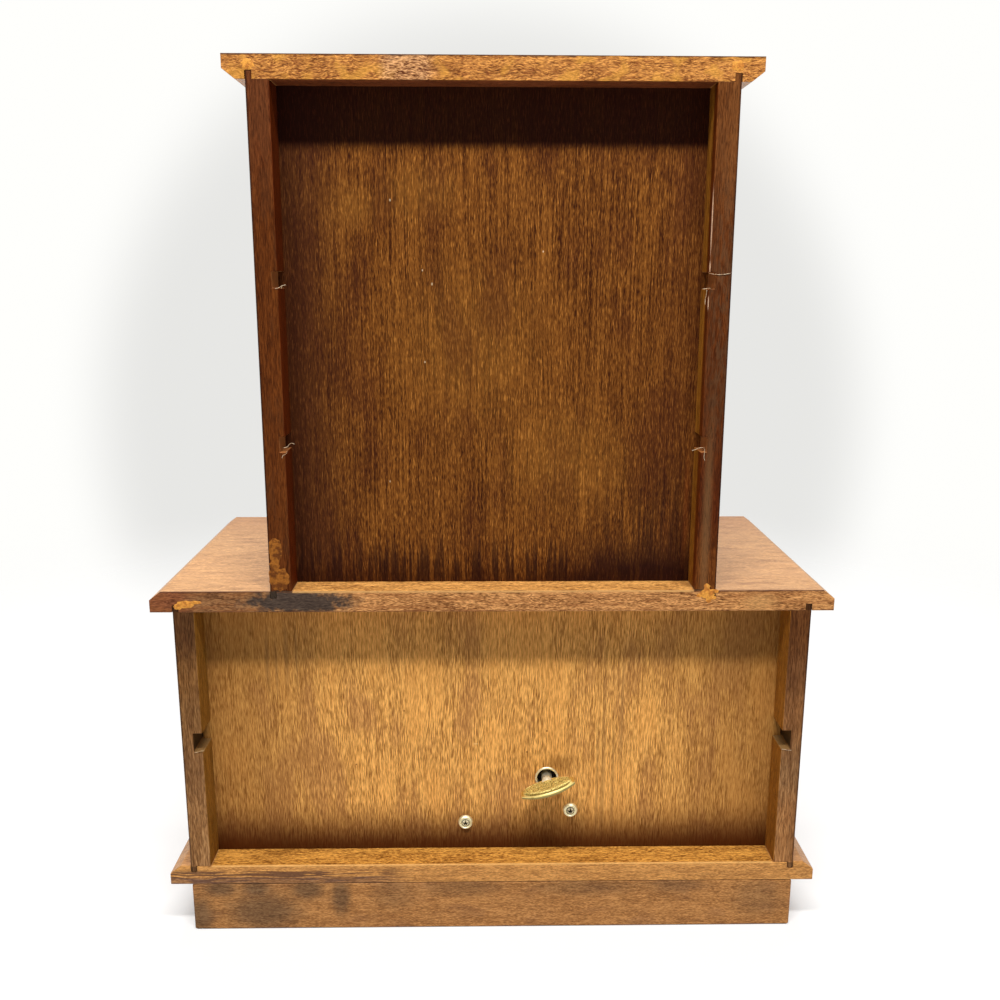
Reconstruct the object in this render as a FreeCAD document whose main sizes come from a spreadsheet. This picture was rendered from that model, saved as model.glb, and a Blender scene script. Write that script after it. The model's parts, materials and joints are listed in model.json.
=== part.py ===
import FreeCAD, Part
import math
import os
import re

import Sketcher

# Musical jewelry chest: a narrow case of three drawers on a wide case of two.
# Front is -Y, up is +Z, and the origin is under the middle of the whole chest.
# Every size is in millimetres.

doc = FreeCAD.newDocument("JewelryChest")
sizes = doc.addObject("Spreadsheet::Sheet", "Sizes")

DIMENSIONS = {
    # The two cases
    "lower_width": (271.0, "width of the lower case over its sides"),
    "lower_height": (119.5, "clear height between base board and middle board"),
    "lower_depth": (129.5, "depth of the lower case, front edge to rear edge"),
    "upper_width": (188.0, "width of the upper case over its sides"),
    "upper_height": (202.0, "clear height between middle board and top board"),
    "upper_depth": (106.0, "depth of the upper case"),
    "plinth_height": (23.0, "height of the plinth rails"),
    "board": (9.0, "thickness of the solid boards"),
    "lower_overhang": (9.5, "how far base and middle boards pass the lower case"),
    "top_overhang": (8.7, "how far the top board passes the upper case"),
    "bevel_wide": (4.8, "width of the bevel on the board edges"),
    "bevel_high": (3.7, "height of that bevel"),
    "tongue_thick": (2.4, "thickness of the tongues on the side boards"),
    "tongue_long": (2.9, "length of those tongues"),
    "tongue_play": (0.15, "room round a tongue in its groove"),
    "back_recess": (14.0, "how deep the back panels stand in from the rear edges"),
    "panel": (3.0, "thickness of the back panels"),
    "panel_groove": (4.0, "depth of the grooves that hold the back panels"),
    "panel_play": (0.3, "room past a panel's edge in its groove"),
    "lower_dado": (4.0, "depth of the housings for the lower divider"),
    "upper_dado": (2.5, "depth of the housings for the upper dividers and the rail"),
    "lower_shelf": (8.8, "thickness of the lower divider"),
    "upper_shelf": (6.5, "thickness of the upper dividers"),
    "top_rail": (11.4, "height of the rail above the top drawer"),
    # The drawers
    "drawer_gap": (0.7, "gap round a drawer in its opening"),
    "drawer_headroom": (2.4, "room above the drawer walls"),
    "drawer_rear_gap": (1.5, "room behind a drawer that reaches the back panel"),
    "front_thick": (9.0, "thickness of the drawer fronts"),
    "front_bevel": (1.2, "bevel round the face of a drawer front"),
    "drawer_wall": (5.0, "thickness of drawer sides and backs"),
    "drawer_lap": (5.0, "how far the sides lap into the front"),
    "drawer_groove": (2.5, "depth of the grooves in the drawer walls"),
    "bottom_rise": (3.0, "height of the drawer bottom above the lower edge"),
    "bottom_thick": (2.6, "thickness of the drawer bottoms"),
    "lining": (1.2, "thickness of the velvet covered lining"),
    "lining_drop": (1.5, "how far the lining ends below the drawer walls"),
    "knob_reach": (17.0, "how far a knob stands out of its drawer front"),
    "knob_base": (4.6, "radius of the knob's foot"),
    "knob_neck": (2.6, "radius of the knob's neck"),
    "knob_head": (6.2, "radius of the knob's head"),
    "knob_spigot": (1.5, "radius of the knob's screw"),
    "knob_stop": (1.5, "wood left between the knob's screw and the lining"),
    "knob_spread": (76.0, "half the distance between two knobs"),
    # The musical movement
    "arbor_side": (24.4, "distance of the winding arbor from the middle of the chest"),
    "fan_room": (0.55, "room between the governor's fan and the divider above it"),
    "arbor_radius": (2.35, "radius of the winding arbor"),
    "arbor_tip": (1.4, "radius of the arbor's threaded ends"),
    "arbor_nose": (1.2, "how far the arbor passes the spring drum"),
    "running_fit": (0.06, "radial room of a shaft in its bearing"),
    "end_play": (0.2, "room at the end of a shaft or rod"),
    "eyelet_bore": (4.5, "inner radius of the key hole eyelet"),
    "eyelet_wall": (0.4, "wall of the eyelet"),
    "eyelet_flange": (5.4, "outer radius of the eyelet's flange"),
    "eyelet_lip": (0.8, "thickness of that flange"),
    "key_wide": (24.5, "width of the winding key"),
    "key_deep": (13.0, "size of the key's plate along the arbor"),
    "key_thick": (3.6, "thickness of the key's plate in its middle"),
    "key_rim": (1.2, "thickness of the key's plate at its rim"),
    "key_slope": (1.8, "width of the slope from the key's rim to its middle"),
    "key_proud": (2.2, "how far the key passes the rear edges"),
    "key_tilt": (17.0, "angle at which the key was left, in degrees"),
    "key_ferrule": (2.1, "radius of the key's threaded ferrule"),
    "screw_one_x": (37.1, "first mounting screw, sideways from the arbor"),
    "screw_one_z": (22.0, "first mounting screw, below the arbor"),
    "screw_two_x": (11.0, "second mounting screw, sideways from the arbor"),
    "screw_two_z": (16.2, "second mounting screw, below the arbor"),
    "screw_shank": (1.25, "radius of a mounting screw"),
    "screw_head": (2.2, "radius of a mounting screw's head"),
    "screw_bite": (3.2, "how far a mounting screw's thread passes the panel"),
    "screw_hole": (1.5, "radius of the screw holes in the panel"),
    "cup_radius": (3.45, "outer radius of a cup washer"),
    "cup_height": (1.3, "height of a cup washer"),
    "cup_lip": (0.3, "width of a cup washer's rim round the screw's head"),
    "bedplate": (2.0, "thickness of the bedplate"),
    "bedplate_edge": (4.0, "bedplate beyond the centres of what it carries"),
    "train_height": (12.5, "height of the cylinder axis over the panel"),
    "drum_radius": (13.0, "outer radius of the spring drum"),
    "drum_wall": (1.0, "wall of the spring drum"),
    "drum_clear": (0.6, "room between drum and bedplate"),
    "crown_module": (0.7, "module of the crown wheel"),
    "crown_face": (1.6, "width of the crown teeth"),
    "crown_play": (0.2, "how much the crown pinion's teeth are thinned"),
    "spring_strip": (0.35, "thickness of the mainspring"),
    "spring_clear": (1.2, "room inside and outside the coiled mainspring"),
    "spring_side": (0.3, "room above and below the mainspring"),
    "fine_module": (0.4, "module of the governor train"),
    "fine_play": (0.1, "how much the governor train's teeth are thinned"),
    "train_gap": (0.8, "side room between neighbours in the train"),
    "post": (1.2, "thickness of bearing posts and frame plates"),
    "cylinder_radius": (6.5, "radius of the pinned cylinder"),
    "cylinder_wall": (0.8, "wall of the pinned cylinder"),
    "pin_height": (0.6, "how far the pins stand out"),
    "pin_radius": (0.2, "radius of a pin"),
    "comb_pitch": (1.02, "distance from comb tooth to comb tooth"),
    "comb_tooth": (0.66, "width of a comb tooth"),
    "comb_reed": (0.6, "thickness of the comb teeth"),
    "comb_body": (1.8, "thickness of the comb's body"),
    "comb_length": (18.9, "length of the comb, tip to rear edge"),
    "comb_seat": (5.5, "depth of the comb's screwed edge"),
    "comb_clear": (0.15, "room between comb tips and pins"),
    "comb_screw": (1.1, "radius of a comb screw"),
    "shaft": (1.0, "radius of the cylinder's shaft"),
    "wheel_shaft": (0.8, "radius of the worm wheel's shaft"),
    "worm_shaft": (0.6, "radius of the governor's shaft ends"),
    "worm_pitch_radius": (1.2, "pitch radius of the worm"),
    "fan_radius": (4.5, "reach of the governor's fan"),
    "fan_height": (3.4, "height of the fan's blades"),
    "fan_blade": (0.5, "thickness of the fan's blades"),
    "movement_room": (26.0, "space kept behind the bottom drawer"),
    "lever_beside": (5.4, "stop lever's pin beside the reach of the fan"),
    "lever_back": (3.0, "stop lever's pin behind the bottom drawer"),
    "lever_thick": (0.8, "thickness of the stop lever"),
    "lever_clear": (0.35, "room at both ends of the stop lever"),
    "lever_pin": (1.0, "radius of the stop lever's pin"),
    "lever_reach": (10.0, "stop lever's pin to its finger, sideways"),
    "lever_finger": (9.0, "height of the stop lever's finger"),
    "frame_lip": (2.5, "how far the governor frame passes the worm's axis"),
}

# Counts, which are not lengths
UPPER_DRAWERS = ("bottom", "middle", "top")
LOWER_DRAWERS = ("bottom", "top")
CROWN_TEETH = 40
PINION_TEETH = 10
CYLINDER_TEETH = 36
FLY_PINION_TEETH = 8
WORM_WHEEL_TEETH = 24
WORM_TURNS = 5
COMB_TEETH = 18
PINS_IN_A_TRACK = 5
SPRING_TURNS = 7

# Proportions of the teeth, the first two in modules and the shares of a pitch
ADDENDUM = 0.8
DEDENDUM = 1.2
CROWN_TOOTH_SHARE = 0.4
WORM_THREAD_SHARE = 0.3
PRESSURE_ANGLE = math.radians(20)

# How the pins of the tune are spread round the cylinder, in turns and pin steps
TRACK_TURN = 0.381966
PIN_SHIFT = 0.37

for row, (alias, (number, meaning)) in enumerate(DIMENSIONS.items(), start=1):
    sizes.set(f"A{row}", meaning)
    sizes.set(f"B{row}", str(number))
    sizes.setAlias(f"B{row}", alias)
doc.recompute()


def linked(words):
    """An expression in plain size names, turned into one that reads the sheet."""
    return re.sub(r"[a-z][a-z_]*", lambda found: "Sizes." + found.group(), str(words))


def measure(words):
    """The number, in millimetres, that an expression in size names stands for."""
    return float(sizes.evalExpression(linked(words)))


def bind(target, properties):
    """Ties properties of an object to the sheet."""
    for name, words in properties.items():
        target.setExpression(name, linked(words))


# Levels and planes that many pieces share
LOWER_FLOOR = "(plinth_height + board)"
MIDDLE_UNDERSIDE = f"({LOWER_FLOOR} + lower_height)"
UPPER_FLOOR = f"({MIDDLE_UNDERSIDE} + board)"
TOP_UNDERSIDE = f"({UPPER_FLOOR} + upper_height)"
REAR = "((lower_depth + knob_reach - key_proud) / 2)"
LOWER_FRONT = f"({REAR} - lower_depth)"
UPPER_FRONT = f"({REAR} - upper_depth)"
PANEL_REAR = f"({REAR} - back_recess)"
PANEL_FRONT = f"({PANEL_REAR} - panel)"
LOWER_INNER = "(lower_width / 2 - board)"
UPPER_INNER = "(upper_width / 2 - board)"
LOWER_SHELF_END = f"({LOWER_INNER} + lower_dado)"
UPPER_SHELF_END = f"({UPPER_INNER} + upper_dado)"
LOWER_OPENING = "((lower_height - lower_shelf) / 2)"
UPPER_OPENING = "((upper_height - top_rail - 2 * upper_shelf) / 3)"
PANEL_LAP = "(panel_groove - panel_play)"

# The governor train's heights above the winding arbor, and the arbor's own height
GEAR_RADIUS = f"(fine_module * {CYLINDER_TEETH} / 2)"
FLY_PINION_RADIUS = f"(fine_module * {FLY_PINION_TEETH} / 2)"
WHEEL_RADIUS = f"(fine_module * {WORM_WHEEL_TEETH} / 2)"
WHEEL_UP = f"({GEAR_RADIUS} + {FLY_PINION_RADIUS})"
FRAME_LOW = f"({WHEEL_UP} - {WHEEL_RADIUS} - fine_module - post - train_gap)"
FRAME_HIGH = f"({WHEEL_UP} + {WHEEL_RADIUS} + fine_module + train_gap)"
FAN_LOW = f"({FRAME_HIGH} + post + train_gap / 2)"
ARBOR_LEVEL = f"({LOWER_FLOOR} + {LOWER_OPENING} - fan_room - fan_height - {FAN_LOW})"


def new_body(name, x="0", y="0", z="0", turn=None):
    """A body whose place is tied to the sheet; turn is an optional rotation."""
    body = doc.addObject("PartDesign::Body", name)
    body.Label = name
    if turn:
        body.Placement = FreeCAD.Placement(FreeCAD.Vector(), turn)
    bind(body, {"Placement.Base.x": x, "Placement.Base.y": y, "Placement.Base.z": z})
    return body


def draw(body, name, plane, corners, offset="0"):
    """A closed outline on one of the body's own planes.

    A corner is (x, y) at the end of a line, or (x, y, radius, turn) at the end
    of an arc that turns left or right.
    """
    sketch = body.newObject("Sketcher::SketchObject", f"{body.Name}_{name}")
    support = next(p for p in body.Origin.OriginFeatures if p.Role == f"{plane}_Plane")
    sketch.AttachmentSupport = (support, [""])
    sketch.MapMode = "FlatFace"
    bind(sketch, {"AttachmentOffset.Base.z": offset})
    points = [FreeCAD.Vector(measure(c[0]), measure(c[1]), 0) for c in corners]
    ends = []
    for index, corner in enumerate(corners):
        first = points[index - 1]
        last = points[index]
        if len(corner) == 2:
            sketch.addGeometry(Part.LineSegment(first, last), False)
            ends.append((1, 2))
        else:
            left = corner[3] == "left"
            sketch.addGeometry(arc_between(first, last, measure(corner[2]), left), False)
            ends.append((1, 2) if left else (2, 1))
            radius = sketch.addConstraint(Sketcher.Constraint("Radius", index, measure(corner[2])))
            sketch.renameConstraint(radius, f"radius{index}")
            bind(sketch, {f"Constraints.radius{index}": corner[2]})
    for index, corner in enumerate(corners):
        after = (index + 1) % len(corners)
        end = ends[index][1]
        sketch.addConstraint(Sketcher.Constraint("Coincident", index, end, after, ends[after][0]))
        for kind, letter, words, value in (
            ("DistanceX", "x", corner[0], points[index].x),
            ("DistanceY", "y", corner[1], points[index].y),
        ):
            place = sketch.addConstraint(Sketcher.Constraint(kind, -1, 1, index, end, value))
            sketch.renameConstraint(place, f"{letter}{index}")
            bind(sketch, {f"Constraints.{letter}{index}": words})
    return sketch


def arc_between(first, last, radius, left):
    """The shorter arc of a circle from first to last."""
    chord = last - first
    height = math.sqrt(radius**2 - (chord.Length / 2) ** 2)
    across = FreeCAD.Vector(-chord.y, chord.x, 0).normalize()
    centre = (first + last) * 0.5 + across * (height if left else -height)
    start, stop = (first, last) if left else (last, first)
    circle = Part.Circle(centre, FreeCAD.Vector(0, 0, 1), radius)
    begin = math.atan2(start.y - centre.y, start.x - centre.x)
    finish = math.atan2(stop.y - centre.y, stop.x - centre.x)
    return Part.ArcOfCircle(circle, begin, finish)


def rectangle(x_low, x_high, y_low, y_high):
    """The corners of an upright rectangle."""
    return [(x_low, y_low), (x_high, y_low), (x_high, y_high), (x_low, y_high)]


def pad(body, name, sketch, length, backwards=False, both_ways=False):
    """Thickens an outline along its normal, against it, or half to each side."""
    feature = body.newObject("PartDesign::Pad", f"{body.Name}_{name}")
    feature.Profile = sketch
    feature.Reversed = backwards
    feature.SideType = "Symmetric" if both_ways else "One side"
    bind(feature, {"Length": length})
    return feature


def slab(body, name, x_span, y_span, z_span):
    """A rectangular piece, or part of one, between named places."""
    sketch = draw(body, f"{name}_outline", "XY", rectangle(*x_span, *y_span), z_span[0])
    return pad(body, name, sketch, f"({z_span[1]}) - ({z_span[0]})")


def cut_box(body, name, x_span, y_span, z_span):
    """A groove, housing or notch with square sides."""
    feature = body.newObject("PartDesign::SubtractiveBox", f"{body.Name}_{name}")
    bind(feature, {
        "Length": f"({x_span[1]}) - ({x_span[0]})",
        "Width": f"({y_span[1]}) - ({y_span[0]})",
        "Height": f"({z_span[1]}) - ({z_span[0]})",
        "Placement.Base.x": x_span[0],
        "Placement.Base.y": y_span[0],
        "Placement.Base.z": z_span[0],
    })
    return feature


ALONG = {
    "X": FreeCAD.Rotation(FreeCAD.Vector(0, 1, 0), 90),
    "Y": FreeCAD.Rotation(FreeCAD.Vector(1, 0, 0), -90),
    "Z": FreeCAD.Rotation(),
}


def round_feature(body, kind, name, axis, place, radius, length):
    """A cylinder along an axis, from place onwards, added or taken away."""
    feature = body.newObject(f"PartDesign::{kind}Cylinder", f"{body.Name}_{name}")
    feature.Placement = FreeCAD.Placement(FreeCAD.Vector(), ALONG[axis])
    bind(feature, {
        "Radius": radius,
        "Height": length,
        "Placement.Base.x": place[0],
        "Placement.Base.y": place[1],
        "Placement.Base.z": place[2],
    })
    return feature


def drill(body, name, axis, place, radius, length):
    return round_feature(body, "Subtractive", name, axis, place, radius, length)


def rod(body, name, axis, place, radius, length):
    return round_feature(body, "Additive", name, axis, place, radius, length)


def turned(body, name, plane, corners, axis="V_Axis"):
    """A piece turned on a lathe: an outline spun about a sketch axis."""
    sketch = draw(body, f"{name}_profile", plane, corners)
    feature = body.newObject("PartDesign::Revolution", f"{body.Name}_{name}")
    feature.Profile = sketch
    feature.ReferenceAxis = (sketch, [axis])
    feature.Angle = 360
    return feature


def on_side(side, near, far):
    """The span from near to far, on the right (+1) or mirrored to the left (-1)."""
    return (near, far) if side > 0 else (f"-({far})", f"-({near})")


def both(half):
    """The span from minus half to plus half."""
    return (f"-({half})", half)


def group(name, members):
    """Several separate solids that share one node."""
    together = doc.addObject("Part::Compound", name)
    together.Label = name
    together.Links = members
    NODES.append(together)
    return together


def loose(name, shape, x="0", y="0", z="0"):
    """A node whose shape is worked out by formula."""
    feature = doc.addObject("Part::Feature", name)
    feature.Label = name
    feature.Shape = shape
    feature.Placement = FreeCAD.Placement(
        FreeCAD.Vector(measure(x), measure(y), measure(z)), FreeCAD.Rotation()
    )
    NODES.append(feature)
    return feature


NODES = []
SIDES = ((-1, "left"), (1, "right"))


# The boards that cap and carry the cases

def moulded_board(name, half_width, front, level, bevel_on_top):
    """A board with a bevel along its front and both ends, square at the rear."""
    body = new_body(name, z=level)
    whole = (both(half_width), (front, REAR))
    drawn_in = (both(f"({half_width} - bevel_wide)"), (f"({front} + bevel_wide)", REAR))
    if bevel_on_top:
        slab(body, "plain", *whole, ("0", "board - bevel_high"))
        wide_level, narrow_level = "board - bevel_high", "board"
    else:
        slab(body, "plain", *whole, ("bevel_high", "board"))
        wide_level, narrow_level = "bevel_high", "0"
    wide = draw(body, "bevel_foot", "XY", rectangle(*whole[0], *whole[1]), wide_level)
    narrow = draw(body, "bevel_top", "XY", rectangle(*drawn_in[0], *drawn_in[1]), narrow_level)
    bevel = body.newObject("PartDesign::AdditiveLoft", f"{name}_bevel")
    bevel.Profile = wide
    bevel.Sections = [narrow]
    bevel.Ruled = True
    NODES.append(body)
    return body


def tongue_grooves(body, name, case_width, front, z_span):
    """A groove at each side for the tongue of a side board."""
    near = f"{case_width} / 2 - tongue_thick - tongue_play"
    far = f"{case_width} / 2 + tongue_play"
    for side, word in SIDES:
        y_span = (f"{front} - tongue_play", REAR)
        cut_box(body, f"{name}_{word}", on_side(side, near, far), y_span, z_span)


def panel_slot(body, name, inner, z_span):
    """A groove across a board for the edge of a back panel."""
    cut_box(body, name, both(f"{inner} + panel_groove"), (PANEL_FRONT, PANEL_REAR), z_span)


TONGUE_ROOM = "(tongue_long + tongue_play)"
TONGUE_FROM_BELOW = ("0", TONGUE_ROOM)
TONGUE_FROM_ABOVE = (f"board - {TONGUE_ROOM}", "board")
PANEL_FROM_BELOW = ("0", "panel_groove")
PANEL_FROM_ABOVE = ("board - panel_groove", "board")
WIDE_HALF = "(lower_width / 2 + lower_overhang)"
WIDE_FRONT = f"({LOWER_FRONT} - lower_overhang)"
TOP_HALF = "(upper_width / 2 + top_overhang)"
TOP_FRONT = f"({UPPER_FRONT} - top_overhang)"

base_board = moulded_board("base_board", WIDE_HALF, WIDE_FRONT, "plinth_height", bevel_on_top=True)
tongue_grooves(base_board, "side_groove", "lower_width", LOWER_FRONT, TONGUE_FROM_ABOVE)
panel_slot(base_board, "panel_groove", LOWER_INNER, PANEL_FROM_ABOVE)

middle_board = moulded_board("middle_board", WIDE_HALF, WIDE_FRONT, MIDDLE_UNDERSIDE, bevel_on_top=True)
tongue_grooves(middle_board, "lower_groove", "lower_width", LOWER_FRONT, TONGUE_FROM_BELOW)
panel_slot(middle_board, "lower_panel_groove", LOWER_INNER, PANEL_FROM_BELOW)
tongue_grooves(middle_board, "upper_groove", "upper_width", UPPER_FRONT, TONGUE_FROM_ABOVE)
panel_slot(middle_board, "upper_panel_groove", UPPER_INNER, PANEL_FROM_ABOVE)

top_board = moulded_board("top_board", TOP_HALF, TOP_FRONT, TOP_UNDERSIDE, bevel_on_top=False)
tongue_grooves(top_board, "side_groove", "upper_width", UPPER_FRONT, TONGUE_FROM_BELOW)
panel_slot(top_board, "panel_groove", UPPER_INNER, PANEL_FROM_BELOW)


# The side boards, with a tongue at each end and housings for the shelves

def side_board(name, side, case_width, case_height, front, level):
    """One side of a case; its housings are cut by housings()."""
    body = new_body(name, z=level)
    outer = f"{side} * ({case_width} / 2)"
    tongue = f"{side} * ({case_width} / 2 - tongue_thick)"
    inner = f"{side} * ({case_width} / 2 - board)"
    profile = draw(body, "profile", "XZ", [
        (inner, "0"),
        (tongue, "0"),
        (tongue, "-tongue_long"),
        (outer, "-tongue_long"),
        (outer, f"{case_height} + tongue_long"),
        (tongue, f"{case_height} + tongue_long"),
        (tongue, case_height),
        (inner, case_height),
    ], f"-({REAR})")
    pad(body, "board", profile, f"{REAR} - {front}")
    inner_face = f"{case_width} / 2 - board"
    groove = on_side(side, inner_face, f"{inner_face} + panel_groove")
    cut_box(body, "panel_groove", groove, (PANEL_FRONT, PANEL_REAR), ("0", case_height))
    NODES.append(body)
    return body


def housings(body, side, inner, end, cuts):
    """Housings in a side board, from its inner face to end. cuts lists (name, y span, z span)."""
    for name, y_span, z_span in cuts:
        cut_box(body, name, on_side(side, inner, end), y_span, z_span)


UPPER_STEP = f"({UPPER_OPENING} + upper_shelf)"
LOWER_HOUSINGS = [
    ("shelf_housing", (LOWER_FRONT, REAR), (LOWER_OPENING, f"{LOWER_OPENING} + lower_shelf")),
]
UPPER_HOUSINGS = [
    ("low_housing", (UPPER_FRONT, REAR), (UPPER_OPENING, UPPER_STEP)),
    ("high_housing", (UPPER_FRONT, REAR), (f"{UPPER_STEP} + {UPPER_OPENING}", f"2 * {UPPER_STEP}")),
    ("rail_housing", (UPPER_FRONT, f"{UPPER_FRONT} + board"), ("upper_height - top_rail", "upper_height")),
]
for side, word in SIDES:
    lower = side_board(f"lower_side_{word}", side, "lower_width", "lower_height", LOWER_FRONT, LOWER_FLOOR)
    housings(lower, side, LOWER_INNER, LOWER_SHELF_END, LOWER_HOUSINGS)
    upper = side_board(f"upper_side_{word}", side, "upper_width", "upper_height", UPPER_FRONT, UPPER_FLOOR)
    housings(upper, side, UPPER_INNER, UPPER_SHELF_END, UPPER_HOUSINGS)


# Back panels, dividers, rail and plinth

def back_panel(name, inner, case_height, level):
    body = new_body(name, z=level)
    slab(body, "sheet", both(f"{inner} + {PANEL_LAP}"), (PANEL_FRONT, PANEL_REAR),
         (f"-{PANEL_LAP}", f"{case_height} + {PANEL_LAP}"))
    NODES.append(body)
    return body


upper_back_panel = back_panel("upper_back_panel", UPPER_INNER, "upper_height", UPPER_FLOOR)
lower_back_panel = back_panel("lower_back_panel", LOWER_INNER, "lower_height", LOWER_FLOOR)

# The two mounting screws, sideways and upwards from the winding arbor
SCREWS = (("screw_one_x", "-screw_one_z"), ("-screw_two_x", "-screw_two_z"))

key_hole_place = ("-arbor_side", PANEL_FRONT, f"{ARBOR_LEVEL} - {LOWER_FLOOR}")
drill(lower_back_panel, "key_hole", "Y", key_hole_place, "eyelet_bore + eyelet_wall", "panel")
for number, (sideways, upwards) in enumerate(SCREWS, start=1):
    hole_place = (f"{sideways} - arbor_side", PANEL_FRONT, f"{ARBOR_LEVEL} + {upwards} - {LOWER_FLOOR}")
    drill(lower_back_panel, f"screw_hole_{number}", "Y", hole_place, "screw_hole", "panel")


def divider(name, end, thickness, front, level):
    body = new_body(name, z=level)
    y_span = (front, f"{PANEL_FRONT} - panel_play")
    slab(body, "shelf", both(end), y_span, ("0", thickness))
    return body


LOWER_DIVIDER_AT = f"{LOWER_FLOOR} + {LOWER_OPENING}"
LOW_DIVIDER_AT = f"{UPPER_FLOOR} + {UPPER_OPENING}"
HIGH_DIVIDER_AT = f"{LOW_DIVIDER_AT} + {UPPER_STEP}"
NODES.append(divider("lower_divider", LOWER_SHELF_END, "lower_shelf", LOWER_FRONT, LOWER_DIVIDER_AT))
group("upper_dividers", [
    divider("upper_divider_low", UPPER_SHELF_END, "upper_shelf", UPPER_FRONT, LOW_DIVIDER_AT),
    divider("upper_divider_high", UPPER_SHELF_END, "upper_shelf", UPPER_FRONT, HIGH_DIVIDER_AT),
])

rail = new_body("top_rail", z=f"{TOP_UNDERSIDE} - top_rail")
rail_span = (UPPER_FRONT, f"{UPPER_FRONT} + board")
slab(rail, "rail", both(UPPER_SHELF_END), rail_span, ("0", "top_rail"))
NODES.append(rail)


def plinth_rail(name, corners):
    """One rail of the plinth, mitred where it meets its neighbours."""
    body = new_body(name)
    pad(body, "rail", draw(body, "outline", "XY", corners), "plinth_height")
    return body


HALF = "(lower_width / 2)"
INNER_FRONT = f"({LOWER_FRONT} + board)"
INNER_REAR = f"({REAR} - board)"
group("plinth_rails", [
    plinth_rail("plinth_front", [
        (f"-{HALF}", LOWER_FRONT), (HALF, LOWER_FRONT),
        (LOWER_INNER, INNER_FRONT), (f"-{LOWER_INNER}", INNER_FRONT),
    ]),
    plinth_rail("plinth_back", [
        (f"-{LOWER_INNER}", INNER_REAR), (LOWER_INNER, INNER_REAR),
        (HALF, REAR), (f"-{HALF}", REAR),
    ]),
])
group("plinth_sides", [
    plinth_rail(f"plinth_{word}", [
        (f"{side} * {HALF}", LOWER_FRONT), (f"{side} * {HALF}", REAR),
        (f"{side} * {LOWER_INNER}", INNER_REAR), (f"{side} * {LOWER_INNER}", INNER_FRONT),
    ])
    for side, word in SIDES
])


# The drawers. Each is drawn from the middle of its opening's lower front edge.

TOUCHING = 1e-6


def bevel_face(body, base):
    """Bevels the four edges round a drawer front's face."""
    doc.recompute()
    edges = []
    for number, edge in enumerate(base.Shape.Edges, start=1):
        if all(abs(vertex.Y) < TOUCHING for vertex in edge.Vertexes):
            edges.append(f"Edge{number}")
    chamfer = body.newObject("PartDesign::Chamfer", f"{body.Name}_bevel")
    chamfer.Base = (base, edges)
    bind(chamfer, {"Size": "front_bevel"})


def drawer(name, opening_width, opening_height, length, front, level, knob_places):
    """One drawer, as separate front, sides, back, bottom, lining and knobs."""
    place = {"y": front, "z": level}
    half = f"({opening_width} / 2 - drawer_gap)"
    inner = f"({half} - drawer_wall)"
    housed = f"({inner} + drawer_groove)"
    floor = "drawer_gap + bottom_rise"
    floor_span = (floor, f"{floor} + bottom_thick")
    walls = ("drawer_gap", f"{opening_height} - drawer_headroom")
    lap_start = "front_thick - drawer_lap"
    back_start = f"({length} - drawer_wall)"

    face = new_body(f"{name}_front", **place)
    outline = draw(face, "outline", "XY", [
        (f"-{half}", "0"), (half, "0"),
        (half, lap_start), (inner, lap_start),
        (inner, "front_thick"), (f"-{inner}", "front_thick"),
        (f"-{inner}", lap_start), (f"-{half}", lap_start),
    ], "drawer_gap")
    board = pad(face, "board", outline, f"{opening_height} - 2 * drawer_gap")
    bevel_face(face, board)
    front_groove = ("front_thick - drawer_groove", "front_thick")
    cut_box(face, "bottom_groove", both(inner), front_groove, floor_span)
    for number, knob_x in enumerate(knob_places, start=1):
        drill(face, f"knob_hole_{number}", "Y", (knob_x, "0", f"{opening_height} / 2"),
              "knob_spigot + running_fit", "front_thick")
    NODES.append(face)

    sides = []
    for side, word in SIDES:
        wall = new_body(f"{name}_side_{word}", **place)
        slab(wall, "wall", on_side(side, inner, half), (lap_start, length), walls)
        groove = on_side(side, inner, housed)
        cut_box(wall, "bottom_groove", groove, (lap_start, length), floor_span)
        cut_box(wall, "back_housing", groove, (back_start, length), walls)
        sides.append(wall)
    group(f"{name}_sides", sides)

    back = new_body(f"{name}_back", **place)
    back_groove = (back_start, f"{back_start} + drawer_groove")
    slab(back, "wall", both(housed), (back_start, length), walls)
    cut_box(back, "bottom_groove", both(housed), back_groove, floor_span)
    NODES.append(back)

    bottom = new_body(f"{name}_bottom", **place)
    sheet_span = (f"{front_groove[0]} + panel_play", f"{back_groove[1]} - panel_play")
    slab(bottom, "sheet", both(f"{housed} - panel_play"), sheet_span, floor_span)
    NODES.append(bottom)

    tray = new_body(f"{name}_lining", **place)
    top = f"{walls[1]} - lining_drop"
    hollow_span = ("front_thick + lining", f"{back_start} - lining")
    slab(tray, "block", both(inner), ("front_thick", back_start), (floor_span[1], top))
    cut_box(tray, "hollow", both(f"{inner} - lining"), hollow_span, (f"{floor_span[1]} + lining", top))
    NODES.append(tray)

    knob_level = f"{level} + {opening_height} / 2"
    knobs = [
        knob(f"{name}_knob_{number}", knob_x, front, knob_level)
        for number, knob_x in enumerate(knob_places, start=1)
    ]
    if len(knobs) > 1:
        group(f"{name}_knobs", knobs)
    else:
        knobs[0].Label = f"{name}_knob"
        NODES.append(knobs[0])


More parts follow.
